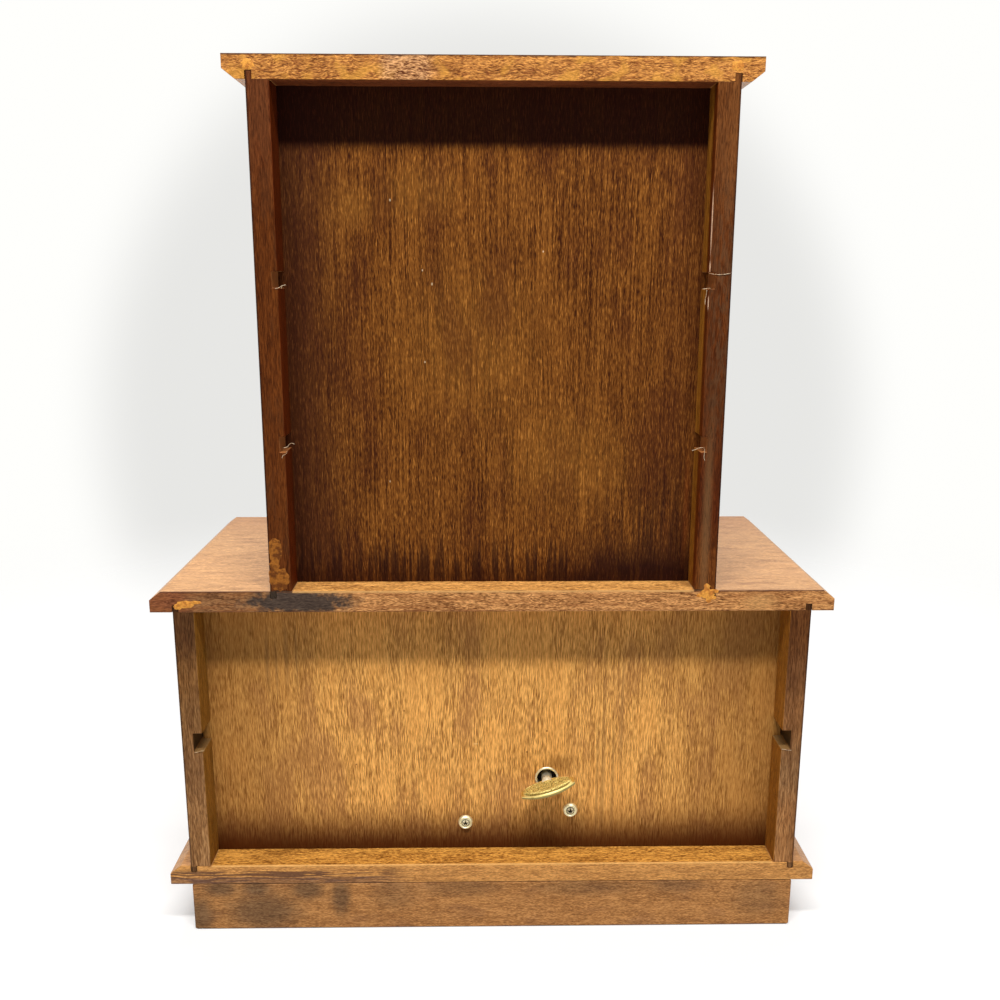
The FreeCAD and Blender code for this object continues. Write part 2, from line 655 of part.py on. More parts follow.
def knob(name, x, y, z):
    """A turned knob: screw, foot, slim dished neck and domed head."""
    body = new_body(name, x=x, y=y, z=z)
    foot_at = "0.06 * knob_reach"
    neck_at = "0.4 * knob_reach"
    flare_at = "0.64 * knob_reach"
    rim_at = "0.72 * knob_reach"
    dome = "(0.28 * knob_reach)"
    dome_radius = f"(knob_head ^ 2 + {dome} ^ 2) / (2 * {dome})"
    turned(body, "turning", "XY", [
        ("0", "front_thick - knob_stop"),
        ("knob_spigot", "front_thick - knob_stop"),
        ("knob_spigot", "0"),
        ("knob_base", "0"),
        ("knob_base", f"-{foot_at}"),
        ("knob_neck", f"-{neck_at}", "0.5 * knob_reach", "left"),
        ("knob_head", f"-{flare_at}", "0.5 * knob_reach", "left"),
        ("knob_head", f"-{rim_at}"),
        ("0", "-knob_reach", dome_radius, "right"),
    ])
    return body


UPPER_LENGTH = "(upper_depth - back_recess - panel - drawer_rear_gap)"
LOWER_LENGTHS = {
    "bottom": "(lower_depth - back_recess - panel - movement_room)",
    "top": "(lower_depth - back_recess - panel - drawer_rear_gap)",
}
for number, word in enumerate(UPPER_DRAWERS):
    drawer(f"upper_drawer_{word}", f"(2 * {UPPER_INNER})", UPPER_OPENING, UPPER_LENGTH,
           UPPER_FRONT, f"{UPPER_FLOOR} + {number} * {UPPER_STEP}", ("0",))
for number, word in enumerate(LOWER_DRAWERS):
    drawer(f"lower_drawer_{word}", f"(2 * {LOWER_INNER})", LOWER_OPENING, LOWER_LENGTHS[word],
           LOWER_FRONT, f"{LOWER_FLOOR} + {number} * ({LOWER_OPENING} + lower_shelf)",
           ("-knob_spread", "knob_spread"))


# The musical movement. Its pieces are drawn from the point where the winding
# arbor leaves the panel: x sideways, z upwards, and -y out from the panel.
MOVEMENT = {"x": "-arbor_side", "y": PANEL_FRONT, "z": ARBOR_LEVEL}

# Places along the cylinder's axis, which runs sideways from the arbor
CROWN_RADIUS = f"(crown_module * {CROWN_TEETH} / 2)"
PINION_RADIUS = f"(crown_module * {PINION_TEETH} / 2)"
PINION_LEFT = f"({CROWN_RADIUS} - crown_face / 2)"
LEFT_POST = f"({CROWN_RADIUS} + crown_face / 2 + train_gap)"
CYLINDER_LEFT = f"({LEFT_POST} + post + train_gap)"
CYLINDER_LONG = f"({COMB_TEETH} * comb_pitch)"
GEAR_LEFT = f"({CYLINDER_LEFT} + {CYLINDER_LONG} + train_gap)"
RIGHT_POST = f"({GEAR_LEFT} + post + train_gap)"
FRAME_LEFT = f"({RIGHT_POST} + post + train_gap)"
WORM_X = f"({FRAME_LEFT} + post + 1.5 * train_gap + post / 2)"
FRAME_RIGHT = f"({WORM_X} + post / 2 + 2.5 * train_gap + post)"

# Places across the train
WORM_OUT = f"(train_height + {WHEEL_RADIUS} + worm_pitch_radius)"
CROWN_PLANE = f"(train_height - {PINION_RADIUS})"
DRUM_TOP = f"({CROWN_PLANE} - {DEDENDUM} * crown_module)"
PINS_RADIUS = "(cylinder_radius + pin_height)"
COMB_TIP = f"({PINS_RADIUS} + comb_clear)"
LEVER_X = f"({WORM_X} + fan_radius + lever_beside)"
LEVER_OUT = "(movement_room - lever_back)"


def from_arbor(sideways, upwards):
    """A place on the panel's front face, sideways and upwards from the arbor."""
    return f"-arbor_side + {sideways}", PANEL_FRONT, f"{ARBOR_LEVEL} + {upwards}"


def gear_outline(teeth, module, thinning):
    """The closed outline of a spur gear, its teeth thinned to leave play."""
    pitch_radius = module * teeth / 2
    base_radius = pitch_radius * math.cos(PRESSURE_ANGLE)
    root_radius = pitch_radius - DEDENDUM * module
    tip_radius = pitch_radius + ADDENDUM * module
    half_tooth = (math.pi / 2 * module - thinning) / 2 / pitch_radius

    def half_angle(radius):
        """Half the tooth's angle at a radius, on the involute of the base circle."""
        flank = math.acos(base_radius / max(radius, base_radius))
        involute = math.tan(flank) - flank
        return half_tooth + math.tan(PRESSURE_ANGLE) - PRESSURE_ANGLE - involute

    low = max(base_radius, root_radius)
    radii = [root_radius] + [low + (tip_radius - low) * step / 3 for step in range(4)]
    points = []
    for tooth in range(teeth):
        centre = 2 * math.pi * tooth / teeth
        for radius in radii:
            angle = centre - half_angle(radius)
            points.append((radius * math.cos(angle), radius * math.sin(angle)))
        for radius in reversed(radii):
            angle = centre + half_angle(radius)
            points.append((radius * math.cos(angle), radius * math.sin(angle)))
    return [point for index, point in enumerate(points) if math.dist(point, points[index - 1]) > TOUCHING]


def gear_on_x(teeth, module, thinning, left, width, turn=0.0):
    """A spur gear about the X axis; turn is in degrees."""
    outline = gear_outline(teeth, measure(module), measure(thinning))
    points = [FreeCAD.Vector(measure(left), y, z) for y, z in outline]
    face = Part.Face(Part.makePolygon(points + points[:1]))
    gear = face.extrude(FreeCAD.Vector(measure(width), 0, 0))
    gear.rotate(FreeCAD.Vector(), FreeCAD.Vector(1, 0, 0), turn)
    return gear


def cylinder_on_x(left, right, radius):
    start = FreeCAD.Vector(measure(left), 0, 0)
    along = FreeCAD.Vector(1, 0, 0)
    return Part.makeCylinder(measure(radius), measure(f"{right} - {left}"), start, along)


# Bedplate, with the posts that carry the cylinder and the ledge for the comb

bed = new_body("movement_bedplate", **MOVEMENT)
BED_LEFT = "-(drum_radius + bedplate_edge)"
BED_RIGHT = f"({FRAME_RIGHT} + post)"
BED_LOW = f"-({COMB_TIP} + comb_length)"
BED_HIGH = "(drum_radius + bedplate_edge)"
LEDGE_HIGH = f"({BED_LOW} + comb_seat)"
plate = draw(bed, "outline", "XZ", rectangle(BED_LEFT, BED_RIGHT, BED_LOW, BED_HIGH))
pad(bed, "plate", plate, "bedplate")
COMB_SPAN = (f"({CYLINDER_LEFT} - train_gap)", f"({CYLINDER_LEFT} + {CYLINDER_LONG} + train_gap)")
COMB_UNDER = "(train_height - comb_body / 2)"
LEDGE_RIGHT = "(screw_one_x + bedplate_edge)"
ledge = draw(bed, "ledge_outline", "XZ", rectangle(COMB_SPAN[0], LEDGE_RIGHT, BED_LOW, LEDGE_HIGH))
pad(bed, "ledge", ledge, COMB_UNDER)
for word, left in (("left", LEFT_POST), ("right", RIGHT_POST)):
    post = rectangle(left, f"{left} + post", "-3 * shaft", "3 * shaft")
    pad(bed, f"{word}_post", draw(bed, f"{word}_post_outline", "XZ", post), "train_height + 2.5 * shaft")
    drill(bed, f"{word}_bearing", "X", (left, "-train_height", "0"), "shaft + running_fit", "post")
SCREW_HOLE_DEEP = "(screw_bite + screw_shank)"
drill(bed, "arbor_bearing", "Y", ("0", "-bedplate", "0"), "arbor_radius + running_fit", "bedplate")
for number, (sideways, upwards) in enumerate(SCREWS, start=1):
    drill(bed, f"screw_hole_{number}", "Y", (sideways, f"-{SCREW_HOLE_DEEP}", upwards),
          "screw_shank + running_fit", SCREW_HOLE_DEEP)
COMB_SCREW_Z = f"({BED_LOW} + comb_seat / 2)"
COMB_SCREWS = (f"({COMB_SPAN[0]} + 3 * comb_screw)", f"({COMB_SPAN[1]} - 3 * comb_screw)")
COMB_SCREW_DEEP = "(4 * comb_screw)"
for number, sideways in enumerate(COMB_SCREWS, start=1):
    drill(bed, f"comb_screw_hole_{number}", "Y", (sideways, f"-{COMB_UNDER}", COMB_SCREW_Z),
          "comb_screw + running_fit", COMB_SCREW_DEEP)
NODES.append(bed)

# Comb: one tooth, repeated, on a body whose edge slants as the teeth get shorter

comb = new_body("comb", **MOVEMENT)
body_shape = draw(comb, "body_outline", "XZ", [
    (COMB_SPAN[0], BED_LOW), (COMB_SPAN[1], BED_LOW),
    (COMB_SPAN[1], f"{LEDGE_HIGH} + comb_seat / 2"), (COMB_SPAN[0], LEDGE_HIGH),
], COMB_UNDER)
pad(comb, "body", body_shape, "comb_body")
tooth_left = f"({CYLINDER_LEFT} + (comb_pitch - comb_tooth) / 2)"
tooth_root = f"{BED_LOW} + comb_seat / 2"
tooth_corners = rectangle(tooth_left, f"{tooth_left} + comb_tooth", tooth_root, f"-{COMB_TIP}")
tooth_shape = draw(comb, "tooth_outline", "XZ", tooth_corners, "train_height - comb_reed / 2")
tooth = pad(comb, "tooth", tooth_shape, "comb_reed")
teeth = comb.newObject("PartDesign::LinearPattern", "comb_teeth")
teeth.Originals = [tooth]
teeth.Direction = (tooth_shape, ["H_Axis"])
teeth.Occurrences = COMB_TEETH
bind(teeth, {"Length": f"{COMB_TEETH - 1} * comb_pitch"})
comb.Tip = teeth
for number, sideways in enumerate(COMB_SCREWS, start=1):
    drill(comb, f"screw_hole_{number}", "Y", (sideways, f"-({COMB_UNDER} + comb_body)", COMB_SCREW_Z),
          "comb_screw + running_fit", "comb_body")
NODES.append(comb)


def comb_screw(name, sideways):
    """A cheese headed screw with a slot."""
    body = new_body(name, *from_arbor(sideways, COMB_SCREW_Z))
    seat = f"({COMB_UNDER} + comb_body)"
    crown = f"({seat} + 1.2 * comb_screw)"
    slot_bottom = f"({seat} + 0.7 * comb_screw)"
    rod(body, "shank", "Y", ("0", f"-{seat}", "0"), "comb_screw", f"comb_body + {COMB_SCREW_DEEP} / 2")
    rod(body, "head", "Y", ("0", f"-{crown}", "0"), "2 * comb_screw", f"{crown} - {seat}")
    slot_span = (f"-{crown}", f"-{slot_bottom}")
    cut_box(body, "slot", both("(2.5 * comb_screw)"), slot_span, both("(0.25 * comb_screw)"))
    return body


group("comb_screws", [
    comb_screw(f"comb_screw_{number}", sideways) for number, sideways in enumerate(COMB_SCREWS, start=1)
])


# Spring drum with its crown wheel, and the mainspring inside

def crown_wheel():
    """An open drum under a toothed flange that turns on the arbor."""
    middle = FreeCAD.Vector()
    out = FreeCAD.Vector(0, -1, 0)
    low = measure("bedplate + drum_clear")
    flange_low = measure(f"{DRUM_TOP} - drum_wall")
    top = measure(DRUM_TOP)
    outside = measure(f"{CROWN_RADIUS} + crown_face / 2")
    drum = Part.makeCylinder(measure("drum_radius"), top - low, out * low, out)
    flange = Part.makeCylinder(outside, top - flange_low, out * flange_low, out)
    hollow = Part.makeCylinder(measure("drum_radius - drum_wall"), flange_low - low, out * low, out)
    bore = Part.makeCylinder(measure("arbor_tip + running_fit"), top, middle, out)
    shell = drum.fuse(flange).cut(hollow).cut(bore)
    module = measure("crown_module")
    plane = measure(CROWN_PLANE)
    half_tooth = CROWN_TOOTH_SHARE / 2 * math.pi * module
    slope = math.tan(PRESSURE_ANGLE)
    foot = (top + flange_low) / 2
    crest = plane + ADDENDUM * module
    half_foot = half_tooth + (plane - foot) * slope
    half_crest = half_tooth - (crest - plane) * slope
    inside = measure(PINION_LEFT)
    rim_step = outside - math.sqrt(outside**2 - half_foot**2)
    face = Part.Face(Part.makePolygon([
        FreeCAD.Vector(inside, -foot, -half_foot),
        FreeCAD.Vector(inside, -foot, half_foot),
        FreeCAD.Vector(inside, -crest, half_crest),
        FreeCAD.Vector(inside, -crest, -half_crest),
        FreeCAD.Vector(inside, -foot, -half_foot),
    ]))
    tooth = face.extrude(FreeCAD.Vector(measure("crown_face") - rim_step, 0, 0))
    teeth = []
    for number in range(CROWN_TEETH):
        copy = tooth.copy()
        copy.rotate(middle, FreeCAD.Vector(0, 1, 0), 360 * number / CROWN_TEETH)
        teeth.append(copy)
    return shell.multiFuse(teeth).removeSplitter()


def spiral_strip(inner, outer, turns, thickness, low, high):
    """A flat spring: half circles about two centres in turn, each one wider."""
    step = (outer - inner) / (2 * turns)
    near = []
    far = []
    centre = 0.0
    radius = inner
    side = 1
    for _ in range(2 * turns):
        for edges, size in ((near, radius - thickness / 2), (far, radius + thickness / 2)):
            edges.append(Part.Arc(
                FreeCAD.Vector(centre + side * size, -low, 0),
                FreeCAD.Vector(centre, -low, side * size),
                FreeCAD.Vector(centre - side * size, -low, 0),
            ).toShape())
        centre += side * step
        radius += step
        side = -side
    caps = [
        Part.makeLine(near[0].Vertexes[0].Point, far[0].Vertexes[0].Point),
        Part.makeLine(near[-1].Vertexes[-1].Point, far[-1].Vertexes[-1].Point),
    ]
    wire = Part.Wire(Part.__sortEdges__(near + far + caps))
    return Part.Face(wire).extrude(FreeCAD.Vector(0, low - high, 0))


loose("spring_drum", crown_wheel(), **MOVEMENT)
loose("mainspring", spiral_strip(
    measure("arbor_radius + spring_clear"), measure("drum_radius - drum_wall - spring_clear"), SPRING_TURNS,
    measure("spring_strip"), measure("bedplate + drum_clear + spring_side"),
    measure(f"{DRUM_TOP} - drum_wall - spring_side"),
), **MOVEMENT)

# Winding arbor and key. The key is turned on the arbor as it was last left.

arbor = new_body("winding_arbor", **MOVEMENT)
KEY_END = "(panel + back_recess + key_proud)"
KEY_NEAR = f"({KEY_END} - key_deep)"
ARBOR_FULL = f"({DRUM_TOP} - drum_wall - end_play)"
ARBOR_SHOULDER = f"({KEY_NEAR} - end_play)"
ARBOR_NOSE = f"({DRUM_TOP} + arbor_nose)"
THREAD_START = f"({ARBOR_SHOULDER} - end_play)"
rod(arbor, "body", "Y", ("0", f"-{ARBOR_FULL}", "0"), "arbor_radius", f"{ARBOR_FULL} + {ARBOR_SHOULDER}")
nose_length = f"{ARBOR_NOSE} - {ARBOR_FULL} + end_play"
rod(arbor, "inner_end", "Y", ("0", f"-{ARBOR_NOSE}", "0"), "arbor_tip", nose_length)
rod(arbor, "key_thread", "Y", ("0", THREAD_START, "0"), "arbor_tip", "0.5 * key_deep")
NODES.append(arbor)

KEY_TURN = FreeCAD.Rotation(FreeCAD.Vector(0, 1, 0), measure("key_tilt"))
key = new_body("winding_key", turn=KEY_TURN, **MOVEMENT)
END_HALF = "(0.16 * key_deep)"
KEY_BULGE = f"(key_deep / 2 - {END_HALF})"
KEY_ARC = f"((key_wide ^ 2 / 4 + {KEY_BULGE} ^ 2) / (2 * {KEY_BULGE}))"
PLATE_CORNERS = [
    ("-key_wide / 2", f"{KEY_END} - key_deep / 2 - {END_HALF}"),
    ("key_wide / 2", f"{KEY_END} - key_deep / 2 - {END_HALF}", KEY_ARC, "left"),
    ("key_wide / 2", f"{KEY_END} - key_deep / 2 + {END_HALF}"),
    ("-key_wide / 2", f"{KEY_END} - key_deep / 2 + {END_HALF}", KEY_ARC, "left"),
]
CROWN_HEIGHT = "((key_thick - key_rim) / 2)"
pad(key, "plate", draw(key, "plate_outline", "XY", PLATE_CORNERS), "key_rim", both_ways=True)
for face, level in (("upper", "key_rim / 2"), ("under", "-key_rim / 2")):
    crown_shape = draw(key, f"{face}_outline", "XY", PLATE_CORNERS, level)
    crown = pad(key, f"{face}_crown", crown_shape, CROWN_HEIGHT, backwards=face == "under")
    crown.TaperAngle = -math.degrees(math.atan(measure(f"key_slope / {CROWN_HEIGHT}")))
rod(key, "ferrule", "Y", ("0", KEY_NEAR, "0"), "key_ferrule", "0.2 * key_deep")
drill(key, "thread", "Y", ("0", ARBOR_SHOULDER, "0"), "arbor_tip + running_fit", "0.5 * key_deep + end_play")
NODES.append(key)

# Eyelet, mounting screws and their cup washers, on the outside of the panel

eyelet = new_body("key_eyelet", **MOVEMENT)
turned(eyelet, "ring", "XY", [
    ("eyelet_bore", "0"),
    ("eyelet_bore + eyelet_wall", "0"),
    ("eyelet_bore + eyelet_wall", "panel"),
    ("eyelet_flange", "panel"),
    ("eyelet_flange - 0.6 * eyelet_lip", "panel + eyelet_lip", "eyelet_lip", "left"),
    ("eyelet_bore", "panel + eyelet_lip"),
])
NODES.append(eyelet)


def mounting_screw(name, sideways, upwards):
    """A screw with an oval head and a cross recess, through panel and bedplate."""
    body = new_body(name, *from_arbor(sideways, upwards))
    rim = "(panel + cup_height - cup_lip)"
    crown = "(panel + cup_height + cup_lip)"
    turned(body, "turning", "XY", [
        ("0", "-(screw_bite + screw_shank / 2)"),
        ("screw_shank", "-screw_bite"),
        ("screw_shank", "panel"),
        ("screw_head", rim),
        ("0", crown, "4.4 * screw_head", "left"),
    ])
    long_half = "(0.62 * screw_head)"
    short_half = "(0.13 * screw_head)"
    recess_span = (f"{rim} - 0.25 * screw_head", crown)
    cut_box(body, "recess_across", both(long_half), recess_span, both(short_half))
    cut_box(body, "recess_upright", both(short_half), recess_span, both(long_half))
    return body


def cup_washer(name, sideways, upwards):
    """A pressed cup that takes the cone of the screw's head."""
    body = new_body(name, *from_arbor(sideways, upwards))
    bore = "(screw_shank + running_fit)"
    turned(body, "cup", "XY", [
        (bore, "panel"),
        ("cup_radius", "panel"),
        ("screw_head + 2 * cup_lip", "panel + cup_height", "1.6 * cup_height", "left"),
        ("screw_head + cup_lip", "panel + cup_height"),
        (bore, "panel + running_fit"),
    ])
    return body


group("movement_screws", [
    mounting_screw(f"movement_screw_{number}", *place) for number, place in enumerate(SCREWS, start=1)
])
group("screw_cups", [
    cup_washer(f"screw_cup_{number}", *place) for number, place in enumerate(SCREWS, start=1)
])


# Pinned cylinder, with its shaft, crown pinion and end gear

def pinned_cylinder():
    """A tube with end discs, and a ring of pins for every tooth of the comb."""
    right = f"({CYLINDER_LEFT} + {CYLINDER_LONG})"
    barrel = cylinder_on_x(CYLINDER_LEFT, right, "cylinder_radius")
    inside = (f"({CYLINDER_LEFT} + cylinder_wall)", f"({right} - cylinder_wall)")
    hollow = cylinder_on_x(*inside, "cylinder_radius - cylinder_wall")
    bore = cylinder_on_x(CYLINDER_LEFT, right, "shaft")
    root = measure("cylinder_radius - cylinder_wall / 2")
    long = measure("pin_height + cylinder_wall / 2")
    pins = []
    for track in range(COMB_TEETH):
        along = measure(f"{CYLINDER_LEFT} + {track + 0.5} * comb_pitch")
        for number in range(PINS_IN_A_TRACK):
            shifted = number + PIN_SHIFT * (track * number % 3)
            angle = 2 * math.pi * (shifted / PINS_IN_A_TRACK + TRACK_TURN * track)
            out = FreeCAD.Vector(0, math.cos(angle), math.sin(angle))
            start = FreeCAD.Vector(along, 0, 0) + out * root
            pins.append(Part.makeCylinder(measure("pin_radius"), long, start, out))
    return barrel.cut(hollow).cut(bore).multiFuse(pins)


TRAIN = {"x": "-arbor_side", "y": f"{PANEL_FRONT} - train_height", "z": ARBOR_LEVEL}
loose("pinned_cylinder", pinned_cylinder(), **TRAIN)

cylinder_shaft = cylinder_on_x(PINION_LEFT, f"{RIGHT_POST} + post + train_gap / 2", "shaft")
crown_pinion = gear_on_x(
    PINION_TEETH, "crown_module", "crown_play", PINION_LEFT, "crown_face", turn=180 / PINION_TEETH
)
end_gear = gear_on_x(CYLINDER_TEETH, "fine_module", "fine_play", GEAR_LEFT, "post")
loose("cylinder_shaft", cylinder_shaft.fuse([crown_pinion, end_gear]).removeSplitter(), **TRAIN)


# Governor: frame, worm wheel, and worm with its fan

frame = new_body("governor_frame", **MOVEMENT)
FRAME_DEEP = f"({WORM_OUT} + frame_lip)"
frame_corners = rectangle(FRAME_LEFT, FRAME_RIGHT, FRAME_LOW, f"{FRAME_HIGH} + post")
pad(frame, "block", draw(frame, "outline", "XZ", frame_corners, "bedplate"), f"{FRAME_DEEP} - bedplate")
cut_box(frame, "inside", (f"{FRAME_LEFT} + post", f"{FRAME_RIGHT} - post"),
        (f"-{FRAME_DEEP}", "-bedplate"), (f"{FRAME_LOW} + post", FRAME_HIGH))
drill(frame, "wheel_bearing", "X", (FRAME_LEFT, "-train_height", WHEEL_UP),
      "wheel_shaft + running_fit", f"{FRAME_RIGHT} - {FRAME_LEFT}")
EAR_BACK = f"({LEVER_OUT} - 4 * lever_pin)"
slab(frame, "ear", (f"{FRAME_RIGHT} - post", f"{LEVER_X} + 2.5 * lever_pin"),
     (f"-({LEVER_OUT} + 2.2 * lever_pin)", f"-{EAR_BACK}"), (FRAME_HIGH, f"{FRAME_HIGH} + post"))
drill(frame, "worm_bearing", "Z", (WORM_X, f"-{WORM_OUT}", FRAME_LOW),
      "worm_shaft + running_fit", f"{FRAME_HIGH} + post - {FRAME_LOW}")
drill(frame, "lever_bearing", "Z", (LEVER_X, f"-{LEVER_OUT}", FRAME_HIGH), "lever_pin + running_fit", "post")
NODES.append(frame)

FLY_TRAIN = {"x": "-arbor_side", "y": f"{PANEL_FRONT} - train_height", "z": f"{ARBOR_LEVEL} + {WHEEL_UP}"}
fly_pinion = gear_on_x(
    FLY_PINION_TEETH, "fine_module", "fine_play", GEAR_LEFT, "post", turn=180 / FLY_PINION_TEETH
)
worm_wheel = gear_on_x(WORM_WHEEL_TEETH, "fine_module", "2 * fine_play", f"{WORM_X} - post / 2", "post")
wheel_shaft = cylinder_on_x(GEAR_LEFT, f"{FRAME_RIGHT} + post / 4", "wheel_shaft")
loose("worm_wheel", wheel_shaft.fuse([fly_pinion, worm_wheel]).removeSplitter(), **FLY_TRAIN)


def governor_worm():
    """A one-start worm on its shaft, with a two-bladed fan above the frame."""
    module = measure("fine_module")
    lead = math.pi * module
    pitch_radius = measure("worm_pitch_radius")
    core = pitch_radius - DEDENDUM * module
    tip = pitch_radius + ADDENDUM * module
    half_thread = WORM_THREAD_SHARE / 2 * lead
    slope = math.tan(PRESSURE_ANGLE)
    long = WORM_TURNS * lead
    bottom = measure(WHEEL_UP) - long / 2 - lead / 4
    helix = Part.makeHelix(lead, long, core)
    sunk = 0.8 * core
    inner_half = half_thread + (pitch_radius - sunk) * slope
    outer_half = half_thread - (tip - pitch_radius) * slope
    profile = Part.makePolygon([
        FreeCAD.Vector(sunk, 0, -inner_half),
        FreeCAD.Vector(tip, 0, -outer_half),
        FreeCAD.Vector(tip, 0, outer_half),
        FreeCAD.Vector(sunk, 0, inner_half),
        FreeCAD.Vector(sunk, 0, -inner_half),
    ])
    thread = Part.Wire(helix).makePipeShell([profile], True, True)
    thread.translate(FreeCAD.Vector(0, 0, bottom))
    frame_low = measure(FRAME_LOW)
    shoulder_low = measure(f"{FRAME_LOW} + post + end_play")
    shoulder_high = measure(f"{FRAME_HIGH} - end_play")
    fan_low = measure(FAN_LOW)
    fan_height = measure("fan_height")
    shaft_radius = measure("worm_shaft")
    up = FreeCAD.Vector(0, 0, 1)
    thick = Part.makeCylinder(core, shoulder_high - shoulder_low, up * shoulder_low, up)
    thin = Part.makeCylinder(shaft_radius, fan_low + fan_height - frame_low, up * frame_low, up)
    hub = Part.makeCylinder(2 * shaft_radius, fan_height, up * fan_low, up)
    reach = measure("fan_radius")
    blade = measure("fan_blade")
    corner = FreeCAD.Vector(-reach, -blade / 2, fan_low)
    blades = Part.makeBox(2 * reach, blade, fan_height, corner)
    return thick.fuse(thread).fuse([thin, hub, blades])


GOVERNOR = {"x": f"-arbor_side + {WORM_X}", "y": f"{PANEL_FRONT} - {WORM_OUT}", "z": ARBOR_LEVEL}
loose("governor_worm", governor_worm(), **GOVERNOR)

# Stop lever: a bent strip on a pin, from the fan to the back of the bottom drawer

LEVER = {"x": f"-arbor_side + {LEVER_X}", "y": f"{PANEL_FRONT} - {LEVER_OUT}", "z": ARBOR_LEVEL}
lever = new_body("stop_lever", **LEVER)
FAN_SIDE = f"({LEVER_X} - {WORM_X} - fan_radius - lever_clear)"
FAN_DOWN = f"({LEVER_OUT} - {WORM_OUT})"
FINGER_OUT = f"(movement_room - {LEVER_OUT} - lever_clear)"
strip = draw(lever, "strip", "XY", [
    (f"-{FAN_SIDE}", f"{FAN_DOWN} + lever_pin"),
    (f"-{FAN_SIDE}", f"{FAN_DOWN} - lever_pin"),
    ("-lever_pin", "-1.6 * lever_pin"),
    ("lever_reach - lever_thick", f"-{FINGER_OUT}"),
    ("lever_reach + lever_pin", f"-{FINGER_OUT}"),
    ("lever_reach + lever_pin", f"-{FINGER_OUT} + lever_thick"),
    ("1.6 * lever_pin", "1.6 * lever_pin"),
    ("0", "1.8 * lever_pin"),
], FAN_LOW)
pad(lever, "strip_pad", strip, "lever_thick")
finger_span = ("lever_reach - 2 * lever_pin", "lever_reach + lever_pin")
finger_skin = (f"-{FINGER_OUT}", f"-{FINGER_OUT} + lever_thick")
finger_levels = (f"{FAN_LOW} - lever_finger", f"{FAN_LOW} + lever_thick")
slab(lever, "finger", finger_span, finger_skin, finger_levels)
PIN_LOW = f"({FRAME_HIGH} - 2 * end_play)"
rod(lever, "pin", "Z", ("0", "0", PIN_LOW), "lever_pin", f"{FAN_LOW} - {PIN_LOW} + end_play")
NODES.append(lever)


# Check every piece, then write one file for each node

LEAST_CUT = 1e-4


def check_document():
    """Stops on a failed object, an empty or unsound shape, or a cut that cut nothing."""
    for item in doc.Objects:
        if {"Invalid", "Error"} & set(item.State):
            raise RuntimeError(f"{item.Name} failed: {item.State}")
        cuts = item.TypeId.startswith("PartDesign::Subtractive") or item.TypeId == "PartDesign::Chamfer"
        if cuts and item.BaseFeature.Shape.Volume - item.Shape.Volume < LEAST_CUT:
            raise RuntimeError(f"{item.Name} takes nothing away")
    for node in NODES:
        if node.Shape.isNull() or not node.Shape.isValid() or not node.Shape.Solids:
            raise RuntimeError(f"{node.Label} has no sound shape")


def write_nodes():
    os.makedirs("parts", exist_ok=True)
    for node in NODES:
        node.Shape.exportStep(f"parts/{node.Label}.step")
        box = node.Shape.BoundBox
        spans = f"x {box.XMin:.1f}..{box.XMax:.1f}, y {box.YMin:.1f}..{box.YMax:.1f}"
        print(f"{node.Label}: {len(node.Shape.Solids)} solid(s), {node.Shape.Volume:.1f} mm3, {spans}")


doc.recompute()
check_document()
write_nodes()
print(f"{len(NODES)} nodes written")
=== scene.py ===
import json
import math

import bmesh
import bpy
from mathutils import Matrix, Vector, noise


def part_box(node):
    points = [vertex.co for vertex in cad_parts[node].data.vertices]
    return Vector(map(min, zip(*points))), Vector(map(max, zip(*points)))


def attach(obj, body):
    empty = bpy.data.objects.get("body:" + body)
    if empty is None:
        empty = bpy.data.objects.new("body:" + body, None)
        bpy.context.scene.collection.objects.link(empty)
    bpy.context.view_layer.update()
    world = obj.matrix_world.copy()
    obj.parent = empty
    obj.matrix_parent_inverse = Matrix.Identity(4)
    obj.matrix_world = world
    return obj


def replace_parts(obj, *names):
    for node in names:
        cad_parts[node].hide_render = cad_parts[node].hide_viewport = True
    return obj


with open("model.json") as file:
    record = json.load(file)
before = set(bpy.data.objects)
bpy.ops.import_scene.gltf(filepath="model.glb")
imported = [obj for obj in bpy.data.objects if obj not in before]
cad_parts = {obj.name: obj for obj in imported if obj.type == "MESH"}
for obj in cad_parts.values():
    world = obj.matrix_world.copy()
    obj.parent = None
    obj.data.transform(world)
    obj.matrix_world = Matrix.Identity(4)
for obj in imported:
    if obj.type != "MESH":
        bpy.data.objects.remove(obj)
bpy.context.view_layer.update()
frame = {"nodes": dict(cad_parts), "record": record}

# The looks of the musical jewelry chest. Front is -Y, up is +Z, and the photographed side is the
# rear, +Y. Blender works in metres, and places on the chest are given here in millimetres. The rear
# view shows -X on its right.

MM = 0.001
X, Y, Z = 0, 1, 2
BODY_OF = {node: body for body, nodes in frame["record"]["behaviour"]["bodies"].items() for node in nodes}
SLOT_OF = {part["node"]: part["material_slot"] for part in frame["record"]["subparts"]}


def reach(node, axis):
    """The lowest and the highest place of a CAD piece along one axis, in millimetres."""
    return tuple(round(corner[axis] / MM, 2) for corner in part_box(node))


def centre_of(node, axis):
    """The middle of a CAD piece along one axis, in millimetres."""
    return round(sum(reach(node, axis)) / 2, 2)


